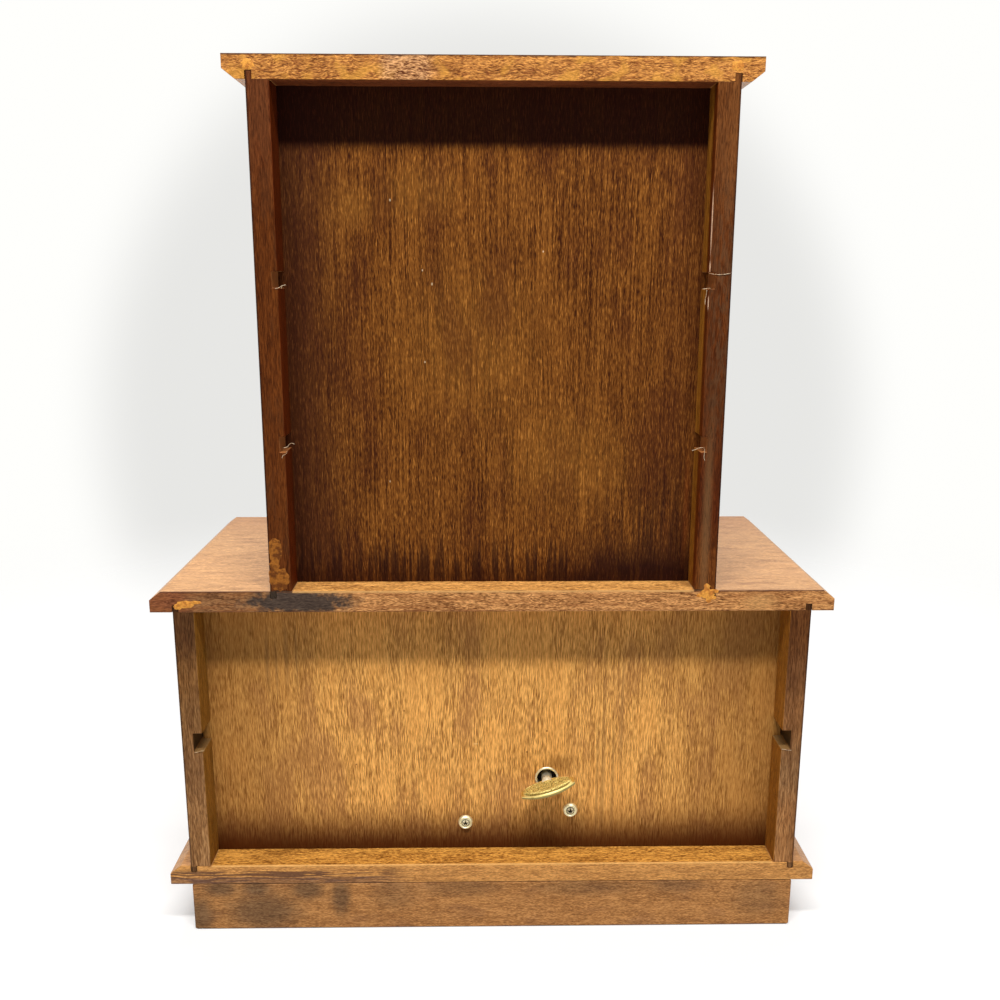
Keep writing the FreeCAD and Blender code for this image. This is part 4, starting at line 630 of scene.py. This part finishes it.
def nylon(name, colour):
    finish = Finish(name, Specular_IOR_Level=0.4, Subsurface_Weight=0.15)
    cloud = finish.spots(2.5, 3.0, 2.0)
    shade = finish.mix(cloud, tuple(0.85 * part for part in colour), colour)
    finish.bump(finish.spots(0.2, 2.0, 1.0), 0.01)
    return finish.set(Base_Color=shade, Roughness=0.35 + 0.2 * cloud)


def filler(name, middle, rim, gloss):
    """Wood filler or dried glue, wiped on by hand."""
    finish = Finish(name, Specular_IOR_Level=gloss)
    crumbs = finish.spots(0.8, 4.0, 2.0)
    blotch = finish.spots(2.6, 3.0, 6.0)
    colour = finish.mix(blotch.rise(0.44, 0.6), middle, rim)
    colour = finish.shade(colour, 0.5 + crumbs)
    finish.bump(crumbs, 0.3)
    return finish.set(Base_Color=colour, Roughness=0.5 + 0.3 * crumbs)


FINISHES = {
    "upper_panel_wood": veneer(
        "dark_veneer", tint(99, 54, 14), 0.78, 0.34, 2.6, (1.9, 2.2, 2.7), 2.0, upper_marks),
    "lower_panel_wood": veneer(
        "golden_veneer", tint(213, 152, 79), 0.58, 0.22, 3.8, (0.78, 0.74, 0.66), 12.0, lower_marks),
    "board_wood": plain_wood("board_wood", X, tint(200, 138, 72), 0.5, 21.0, 0.3),
    "side_wood": plain_wood("side_wood", Z, tint(158, 98, 50), 0.5, 31.0, 0.3),
    "shelf_wood": plain_wood("divider_wood", X, tint(150, 92, 48), 0.5, 41.0, 0.3),
    "plinth_wood": plinth_wood("plinth_rail_wood", X, 51.0),
    "front_wood": plain_wood("drawer_front_wood", X, tint(168, 104, 52), 0.5, 61.0, 0.45),
    "drawer_wood": plain_wood("drawer_side_wood", Y, tint(200, 170, 128), 0.3, 71.0),
    "drawer_bottom_wood": plain_wood("drawer_bottom_wood", X, tint(196, 162, 116), 0.35, 81.0),
    "velvet": velvet("red_velvet", (0.30, 0.015, 0.02)),
    "knob_brass": metal("knob_brass", tint(226, 190, 118), tint(150, 112, 62), 0.22, 3.0),
    "key_brass": metal("key_brass", tint(252, 232, 150), tint(206, 180, 98), 0.34, 7.0, X, key_faces),
    "eyelet_brass": metal("eyelet_brass", tint(240, 228, 190), tint(184, 168, 128), 0.4, 11.0),
    "screw_brass": metal(
        "screw_brass", tint(255, 248, 208), tint(206, 194, 150), 0.44, 13.0, X, grimy_shaded_screws),
    "zinc_metal": metal(
        "cast_zinc", tint(196, 198, 200), tint(148, 148, 150), 0.45, 17.0, X, shaded_bearing),
    "comb_steel": metal("comb_steel", tint(206, 206, 208), tint(158, 154, 148), 0.25, 19.0, Z),
    "spring_steel": metal("spring_steel", tint(148, 155, 170), tint(116, 114, 122), 0.25, 23.0),
    "arbor_steel": metal("arbor_steel", tint(238, 228, 204), tint(176, 164, 140), 0.46, 27.0, Y),
    "train_brass": metal("train_brass", tint(224, 198, 148), tint(184, 160, 112), 0.28, 29.0),
    "governor_plastic": nylon("governor_nylon", tint(224, 221, 212)),
}
TOP_WOOD = moulded_board(
    "top_board_wood", tint(184, 120, 56), tint(206, 146, 84), tint(120, 62, 32),
    UPPER_INNER, (TOP_LOW + 3.5, TOP_LOW + 1.5), 21.0, 1.6, 0.4, top_board_marks)
MIDDLE_WOOD = moulded_board(
    "middle_board_wood", tint(184, 126, 72), tint(198, 145, 90), tint(202, 141, 73),
    UPPER_INNER, (MIDDLE_HIGH - 4.5, MIDDLE_HIGH - 2.5), 23.0, 0.9, 0.25, middle_board_marks)
BASE_WOOD = moulded_board(
    "base_board_wood", tint(204, 143, 75), tint(196, 140, 84), tint(188, 128, 54),
    LOWER_INNER, (BASE_HIGH - 5.0, BASE_HIGH - 3.0), 25.0, 0.9, 0.3, base_board_marks)

# Colours of the sides' rear edges, each from its height on
UPPER_LEFT_EDGE = (
    (170, tint(104, 54, 16)), (195, tint(82, 34, 8)), (250, tint(85, 40, 12)),
    (305, tint(92, 47, 18)), (345, tint(112, 64, 28)),
)
UPPER_RIGHT_EDGE = ((300, tint(92, 45, 13)), (362, tint(95, 48, 22)))
LOWER_LEFT_EDGE = (
    (52, tint(164, 112, 66)), (76, tint(136, 96, 60)), (104, tint(134, 88, 50)),
    (122, tint(106, 66, 36)), (142, tint(94, 54, 24)),
)
LOWER_RIGHT_EDGE = (
    (52, tint(160, 114, 70)), (78, tint(140, 98, 60)), (104, tint(128, 88, 50)),
    (122, tint(128, 86, 46)), (140, tint(86, 54, 28)),
)
SIDE_WOOD = {
    "upper_side_left": side_wood(
        "upper_left_wood", UPPER_INNER, UPPER_OUTER, UPPER_LEFT_EDGE, tint(100, 44, 10), 1.0, 31.0,
        upper_side_marks),
    "upper_side_right": side_wood(
        "upper_right_wood", UPPER_INNER, UPPER_OUTER, UPPER_RIGHT_EDGE, tint(92, 36, 8), 0.0, 35.0,
        upper_side_marks),
    "lower_side_left": side_wood(
        "lower_left_wood", LOWER_INNER, LOWER_OUTER, LOWER_LEFT_EDGE, tint(150, 96, 34), 0.0, 33.0,
        lower_side_marks),
    "lower_side_right": side_wood(
        "lower_right_wood", LOWER_INNER, LOWER_OUTER, LOWER_RIGHT_EDGE, tint(136, 92, 34), 0.0, 37.0,
        lower_side_marks),
}
PLINTH_SIDE_WOOD = plinth_wood("plinth_side_wood", Y, 53.0)
DRAWER_BACK_WOOD = plain_wood("drawer_back_wood", X, tint(200, 170, 128), 0.3, 73.0)
PUTTY = filler("orange_putty", tint(222, 152, 62), tint(190, 118, 46), 0.2)
GLUE = filler("dried_glue", tint(152, 92, 32), tint(104, 56, 18), 0.1)
RAW_FIBRE = filler("raw_fibre", tint(218, 194, 162), tint(180, 146, 110), 0.2)


# Pieces

# Corners closer than WELD, in metres, are one. The angles are between faces: below FLAT they are one
# face, above SHARP their edge is rounded, and above CREASED it is shaded as a crease.
WELD = 1e-6
FLAT = math.radians(1)
SHARP = math.radians(20)
CREASED = math.radians(35)


def merged_copy(node):
    """A CAD piece's mesh as a bmesh with its corners joined and its flat faces whole."""
    shape = bmesh.new()
    shape.from_mesh(frame["nodes"][node].data)
    bmesh.ops.remove_doubles(shape, verts=shape.verts, dist=WELD)
    bmesh.ops.dissolve_limit(shape, angle_limit=FLAT, verts=shape.verts, edges=shape.edges)
    return shape


def piece_of(name, shape, material, body):
    """Makes a bmesh a smooth-shaded piece with sharp creases that moves with a body."""
    mesh = bpy.data.meshes.new(name)
    shape.to_mesh(mesh)
    shape.free()
    mesh.shade_smooth()
    mesh.set_sharp_from_angle(angle=CREASED)
    mesh.materials.append(material)
    piece = bpy.data.objects.new(name, mesh)
    bpy.context.scene.collection.objects.link(piece)
    piece.modifiers.new("flat_faces", "WEIGHTED_NORMAL").keep_sharp = True
    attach(piece, body)
    return piece


def dressed(name, shape, material, node):
    """Makes a bmesh the piece that is shown for a CAD node."""
    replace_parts(piece_of(name, shape, material, BODY_OF[node]), node)


def eased(node, edge, material=None):
    """A piece with its sharp edges rounded, edge millimetres wide."""
    shape = merged_copy(node)
    sharp = [line for line in shape.edges if len(line.link_faces) == 2 and line.calc_face_angle() > SHARP]
    bmesh.ops.bevel(shape, geom=sharp, offset=edge * MM, offset_type="OFFSET", segments=2, profile=0.5,
                    affect="EDGES", material=-1, clamp_overlap=True)
    dressed(f"{node}_eased", shape, material or FINISHES[SLOT_OF[node]], node)


for node, piece in frame["nodes"].items():
    for holder in piece.material_slots:
        holder.material = DRAWER_BACK_WOOD if node.endswith("_back") else FINISHES[SLOT_OF[node]]

eased("top_board", 0.4, TOP_WOOD)
eased("middle_board", 0.5, MIDDLE_WOOD)
eased("base_board", 0.5, BASE_WOOD)
for node, wood in SIDE_WOOD.items():
    eased(node, 0.3, wood)
eased("plinth_rails", 0.8)
eased("plinth_sides", 0.8, PLINTH_SIDE_WOOD)
for node in frame["nodes"]:
    if node.endswith("_front"):
        eased(node, 0.3)
    if node.endswith("_lining"):
        eased(node, 0.5)
    if "knob" in node:
        dressed(f"{node}_turned", merged_copy(node), FINISHES["knob_brass"], node)
for node in ("winding_arbor", "movement_screws"):
    dressed(f"{node}_smooth", merged_copy(node), FINISHES[SLOT_OF[node]], node)
eased("key_eyelet", 0.2)
eased("screw_cups", 0.12)


# The winding key: a pillow with a sunk field and scrolls in relief on both of its faces

KEY_PLACE = Matrix.Translation((ARBOR_X * MM, 0, ARBOR_Z * MM))
KEY_FRAME = KEY_PLACE @ Matrix.Rotation(math.radians(KEY_TILT), 4, "Y")
KEY_UP = KEY_FRAME.to_3x3() @ Vector((0, 0, 1))
KEY_ROUNDING = 0.5
KEY_RIM = 0.3
FIELD = CROWN - 0.3

# The plate's large faces are those above an area, in square metres, that look along the plate's own up.
# How closely they do is a cosine, before and after the rounding.
BROAD = 60 * MM * MM
LEVEL = 0.99
FLUSH = 0.999

# Scrolls on one half of the field: the middle across and along, the radius, and in radians the start
# and the sweep. The boss is given by its half sizes.
SCROLLS = (((4.6, 1.5), 1.9, 0.4, 4.6), ((4.8, -1.8), 1.6, 2.2, 4.4), ((7.9, 0.0), 1.1, -1.2, 4.8))
BOSS_BEFORE_MIDDLE = 3.6
BOSS = (1.6, 1.1, 0.3)


def scroll(shape, centre, radius, start, sweep, height, thick=0.26):
    """A raised, curved line on the key. Places are across and along the plate, in millimetres."""
    begin = Vector((centre[0] + radius * math.cos(start), centre[1] + radius * math.sin(start), height))
    upright = Matrix.Rotation(start, 4, "Z") @ Matrix.Rotation(math.radians(90), 4, "X")
    ring = bmesh.ops.create_circle(shape, cap_ends=True, radius=thick * MM, segments=8,
                                   matrix=KEY_FRAME @ Matrix.Translation(begin * MM) @ upright)
    faces = list({face for vert in ring["verts"] for face in vert.link_faces})
    pivot = KEY_FRAME @ (Vector((*centre, height)) * MM)
    bmesh.ops.spin(shape, geom=faces, cent=pivot, axis=KEY_UP, angle=sweep, steps=14, use_duplicate=False)


def broad_faces(shape, level):
    """The two large faces of the key's plate, which look along its own up or down."""
    return [face for face in shape.faces
            if abs(face.normal.dot(KEY_UP)) > level and face.calc_area() > BROAD]


def winding_key():
    shape = merged_copy("winding_key")
    rounded = list({edge for face in broad_faces(shape, LEVEL) for edge in face.edges})
    bmesh.ops.bevel(shape, geom=rounded, offset=KEY_ROUNDING * MM, offset_type="OFFSET", segments=3,
                    profile=0.5, affect="EDGES", material=-1, clamp_overlap=True)
    bmesh.ops.inset_region(shape, faces=broad_faces(shape, FLUSH), thickness=KEY_RIM * MM,
                           depth=-(CROWN - FIELD) * MM, use_even_offset=True)
    for up in (1, -1):
        for across in (1, -1):
            for centre, radius, start, sweep in SCROLLS:
                place = (across * centre[0], KEY_MIDDLE + centre[1])
                begin = start if across > 0 else math.pi - start
                scroll(shape, place, radius, begin, across * sweep, up * FIELD)
        spot = Vector((0, KEY_MIDDLE - BOSS_BEFORE_MIDDLE, up * FIELD))
        boss = Matrix.Translation(spot * MM) @ Matrix.Diagonal((*BOSS, 1))
        bmesh.ops.create_uvsphere(shape, u_segments=16, v_segments=8, radius=MM, matrix=KEY_FRAME @ boss)
    bmesh.ops.recalc_face_normals(shape, faces=shape.faces)
    dressed("winding_key_embossed", shape, FINISHES["key_brass"], "winding_key")


winding_key()


# Repairs and wear: filler over the ends of the tongues, dried glue, and torn fibres

RAGGED = 0.34


def smear(name, blobs, material, proud=0.16):
    """Flat blobs with ragged rims on the rear edges. Each blob is x, z and its half width and height."""
    shape = bmesh.new()
    for number, (x, z, wide, high) in enumerate(blobs):
        flat = Matrix.Translation(Vector((x, REAR, z)) * MM) @ Matrix.Rotation(math.radians(90), 4, "X")
        blob = bmesh.ops.create_uvsphere(shape, u_segments=48, v_segments=10, radius=1.0,
                                         matrix=Matrix.Identity(4))
        for vert in blob["verts"]:
            spot = Vector((2.1 * vert.co.x, 2.1 * vert.co.y, 3.7 * number + x))
            ragged = 1 + RAGGED * noise.noise(spot)
            local = Vector((vert.co.x * wide * ragged, vert.co.y * high * ragged, vert.co.z * proud)) * MM
            vert.co = flat @ local
    bmesh.ops.recalc_face_normals(shape, faces=shape.faces)
    piece_of(name, shape, material, "case")


smear("putty_in_top_board", ((92.8, 367.7, 2.3, 2.1), (-92.1, 368.0, 2.2, 2.0)), PUTTY)
smear("putty_in_middle_board", (
    (130.0, 155.0, 3.6, 1.7), (133.0, 154.0, 1.8, 1.2), (125.6, 155.8, 2.6, 0.8),
    (-90.8, 159.0, 3.0, 2.3), (-90.2, 162.0, 1.4, 1.7), (-93.8, 160.2, 1.6, 0.9),
    (-87.4, 158.4, 1.6, 0.9), (-91.2, 156.4, 1.3, 1.4), (-93.2, 157.4, 1.2, 0.8),
), PUTTY)
smear("glue_on_upper_side", (
    (91.0, 178.2, 2.7, 5.6), (90.0, 166.2, 4.2, 5.2), (91.6, 172.0, 2.0, 2.6),
), GLUE, 0.12)


# Torn fibres: x and z of the start, the heading, and arcs of a radius and an angle, left turns positive
TORN = (
    ((86.3, 285.2), 176, ((5.0, -30), (3.5, 35))), ((83.6, 285.2), 80, ((2.0, 40),)),
    ((85.8, 221.9), 190, ((2.2, -70), (1.5, 110))), ((84.3, 220.6), 265, ((1.6, 80), (1.2, -90))),
    ((-84.3, 291.7), 196, ((17.0, -32),)), ((-82.5, 285.5), 180, ((8.0, -12), (6.0, 15))),
    ((-84.2, 285.3), 268, ((12.0, 14), (9.0, -20))), ((-81.0, 220.6), 172, ((6.0, -20), (5.0, 40))),
    ((-86.2, 221.6), 255, ((6.0, 25), (4.0, -40))), ((130.4, 87.4), 180, ((5.0, -25), (4.0, 35))),
    ((-126.6, 87.5), 178, ((6.0, 20), (5.0, -30))),
)
FIBRE_PROUD = 0.2


def fibre(shape, place, heading, arcs, thick=0.1):
    """A round thread along arcs, just off the rear edges, with both ends closed to a point."""
    spot = Vector((place[0], REAR + FIBRE_PROUD, place[1]))
    facing = Vector((math.cos(math.radians(heading)), 0, math.sin(math.radians(heading))))
    aside = Vector((0, 1, 0))
    turned = Matrix((aside, facing.cross(aside), facing)).transposed().to_4x4()
    ring = bmesh.ops.create_circle(shape, cap_ends=False, radius=thick * MM, segments=6,
                                   matrix=Matrix.Translation(spot * MM) @ turned)["verts"]
    tip = ring
    edges = list({edge for vert in ring for edge in vert.link_edges})
    for radius, sweep in arcs:
        pivot = spot + math.copysign(radius, sweep) * Vector((-facing.z, 0, facing.x))
        turn = Matrix.Rotation(math.radians(sweep), 3, Vector((0, -1, 0)))
        made = bmesh.ops.spin(shape, geom=ring + edges, cent=pivot * MM, axis=(0, -1, 0),
                              angle=math.radians(sweep), steps=7, use_duplicate=False)["geom_last"]
        ring = [item for item in made if isinstance(item, bmesh.types.BMVert)]
        edges = [item for item in made if isinstance(item, bmesh.types.BMEdge)]
        spot = pivot + turn @ (spot - pivot)
        facing = turn @ facing
    for end in (tip, ring):
        middle = sum((vert.co for vert in end), Vector()) / len(end)
        bmesh.ops.pointmerge(shape, verts=end, merge_co=middle)


splinters = bmesh.new()
for place, heading, arcs in TORN:
    fibre(splinters, place, heading, arcs)
bmesh.ops.recalc_face_normals(splinters, faces=splinters.faces)
piece_of("torn_fibres", splinters, RAW_FIBRE, "case")


# Camera, at the photograph's viewing angle

EYE = (4.6, 475.55, 290.1)
EYE_TURN = 180 - 1.01
EYE_DOWN = 12.6
EYE_ROLL = 0.15

camera = bpy.data.objects.new("camera", bpy.data.cameras.new("camera"))
bpy.context.scene.collection.objects.link(camera)
camera.data.lens = 36.0
camera.data.sensor_width = 36.0
camera.data.sensor_fit = "HORIZONTAL"
camera.data.clip_start = 0.01
camera.matrix_world = (
    Matrix.Translation(Vector(EYE) * MM)
    @ Matrix.Rotation(math.radians(EYE_TURN), 4, "Z")
    @ Matrix.Rotation(math.radians(90 - EYE_DOWN), 4, "X")
    @ Matrix.Rotation(math.radians(EYE_ROLL), 4, "Z")
)
bpy.context.scene.camera = camera


# Stage: soft lamps, a pale floor that keeps the shadow, and a backdrop with a faint painted shadow of the
# chest

def lamp(name, place, aim, width, height, power):
    """A soft box at a place, in metres, that faces a point."""
    light = bpy.data.lights.new(name, "AREA")
    light.shape = "RECTANGLE"
    light.size = width
    light.size_y = height
    light.energy = power
    holder = bpy.data.objects.new(name, light)
    holder.location = place
    holder.rotation_euler = (Vector(aim) - Vector(place)).to_track_quat("-Z", "Y").to_euler()
    bpy.context.scene.collection.objects.link(holder)


lamp("rear_strip", (0.0, 0.57, 1.17), (0.0, 0.05, 0.2), 0.9, 0.10, 17.0)
lamp("front_box", (0.0, -0.8, 1.4), (0.0, 0.0, 0.15), 0.9, 0.7, 13.0)

# Size, drop and brightness of the painted shadow of the chest on the backdrop
BACKDROP_SHADOW_WIDE, BACKDROP_SHADOW_HIGH, BACKDROP_SHADOW_DROP = 0.45, 0.48, 0.17
BACKDROP_SHADOW_LIGHT = 0.8
ROOM_LIGHT = 0.13

world = bpy.data.worlds.new("surroundings")
bpy.context.scene.world = world
world.use_nodes = True
sky = Nodes(world.node_tree)
towards = sky.node("ShaderNodeTexCoord", output="Generated")
east, north, up = (sky.part(towards, axis) for axis in (X, Y, Z))
away = (0.0 - north).most(0.05)
aside = east / away / BACKDROP_SHADOW_WIDE
above = (up / away + BACKDROP_SHADOW_DROP) / BACKDROP_SHADOW_HIGH
# Painted shadow: the backdrop seen by the camera is darker round the chest.
cloud = (aside * aside + above * above).rise(0.45, 1.0).most(north.rise(-0.5, -0.2))
path_camera = sky.node("ShaderNodeLightPath", output="Is Camera Ray")
path_glossy = sky.node("ShaderNodeLightPath", output="Is Glossy Ray")
seen = path_camera * cloud.rise(0.0, 1.0, BACKDROP_SHADOW_LIGHT, 1.0)
mirrored = path_glossy * north.rise(0.7, -0.5, 0.5, 1.0)
level = (seen + mirrored).most((1 - path_camera - path_glossy) * ROOM_LIGHT)
background = sky.node("ShaderNodeBackground", {}, {"Color": (1.0, 0.998, 0.975), "Strength": level})
sky.node("ShaderNodeOutputWorld", {}, {"Surface": background})

FLOOR_RADIUS = 1.2
FADES_FROM, FADED_AT = 0.3, 0.85

disc = bmesh.new()
bmesh.ops.create_circle(disc, cap_ends=True, radius=FLOOR_RADIUS, segments=64)
floor_mesh = bpy.data.meshes.new("floor")
disc.to_mesh(floor_mesh)
disc.free()
floor = bpy.data.objects.new("floor", floor_mesh)
bpy.context.scene.collection.objects.link(floor)
paper = bpy.data.materials.new("white_paper")
paper.use_nodes = True
sheet = Nodes(paper.node_tree)
spot = sheet.node("ShaderNodeTexCoord", output="Object")
from_middle = sheet.node("ShaderNodeVectorMath", {"operation": "LENGTH"}, {0: spot}, "Value")
plain = sheet.node("ShaderNodeBsdfDiffuse", {}, {"Color": (0.8, 0.8, 0.79)})
lit = sheet.node("ShaderNodeBsdfDiffuse", {}, {"Color": (0.55, 0.55, 0.545)})
glow = sheet.node("ShaderNodeEmission", {}, {"Color": (1.0, 0.99, 0.98), "Strength": 0.45})
near = sheet.node("ShaderNodeAddShader", {}, {0: lit, 1: glow})
clear = sheet.node("ShaderNodeBsdfTransparent")
fade = from_middle.rise(FADES_FROM, FADED_AT)
faded = sheet.node("ShaderNodeMixShader", {}, {0: fade, 1: near, 2: clear})
by_camera = sheet.node("ShaderNodeLightPath", output="Is Camera Ray")
surface = sheet.node("ShaderNodeMixShader", {}, {0: by_camera, 1: plain, 2: faded})
sheet.node("ShaderNodeOutputMaterial", {}, {"Surface": surface})
floor_mesh.materials.append(paper)

bpy.context.scene.view_settings.view_transform = "Standard"
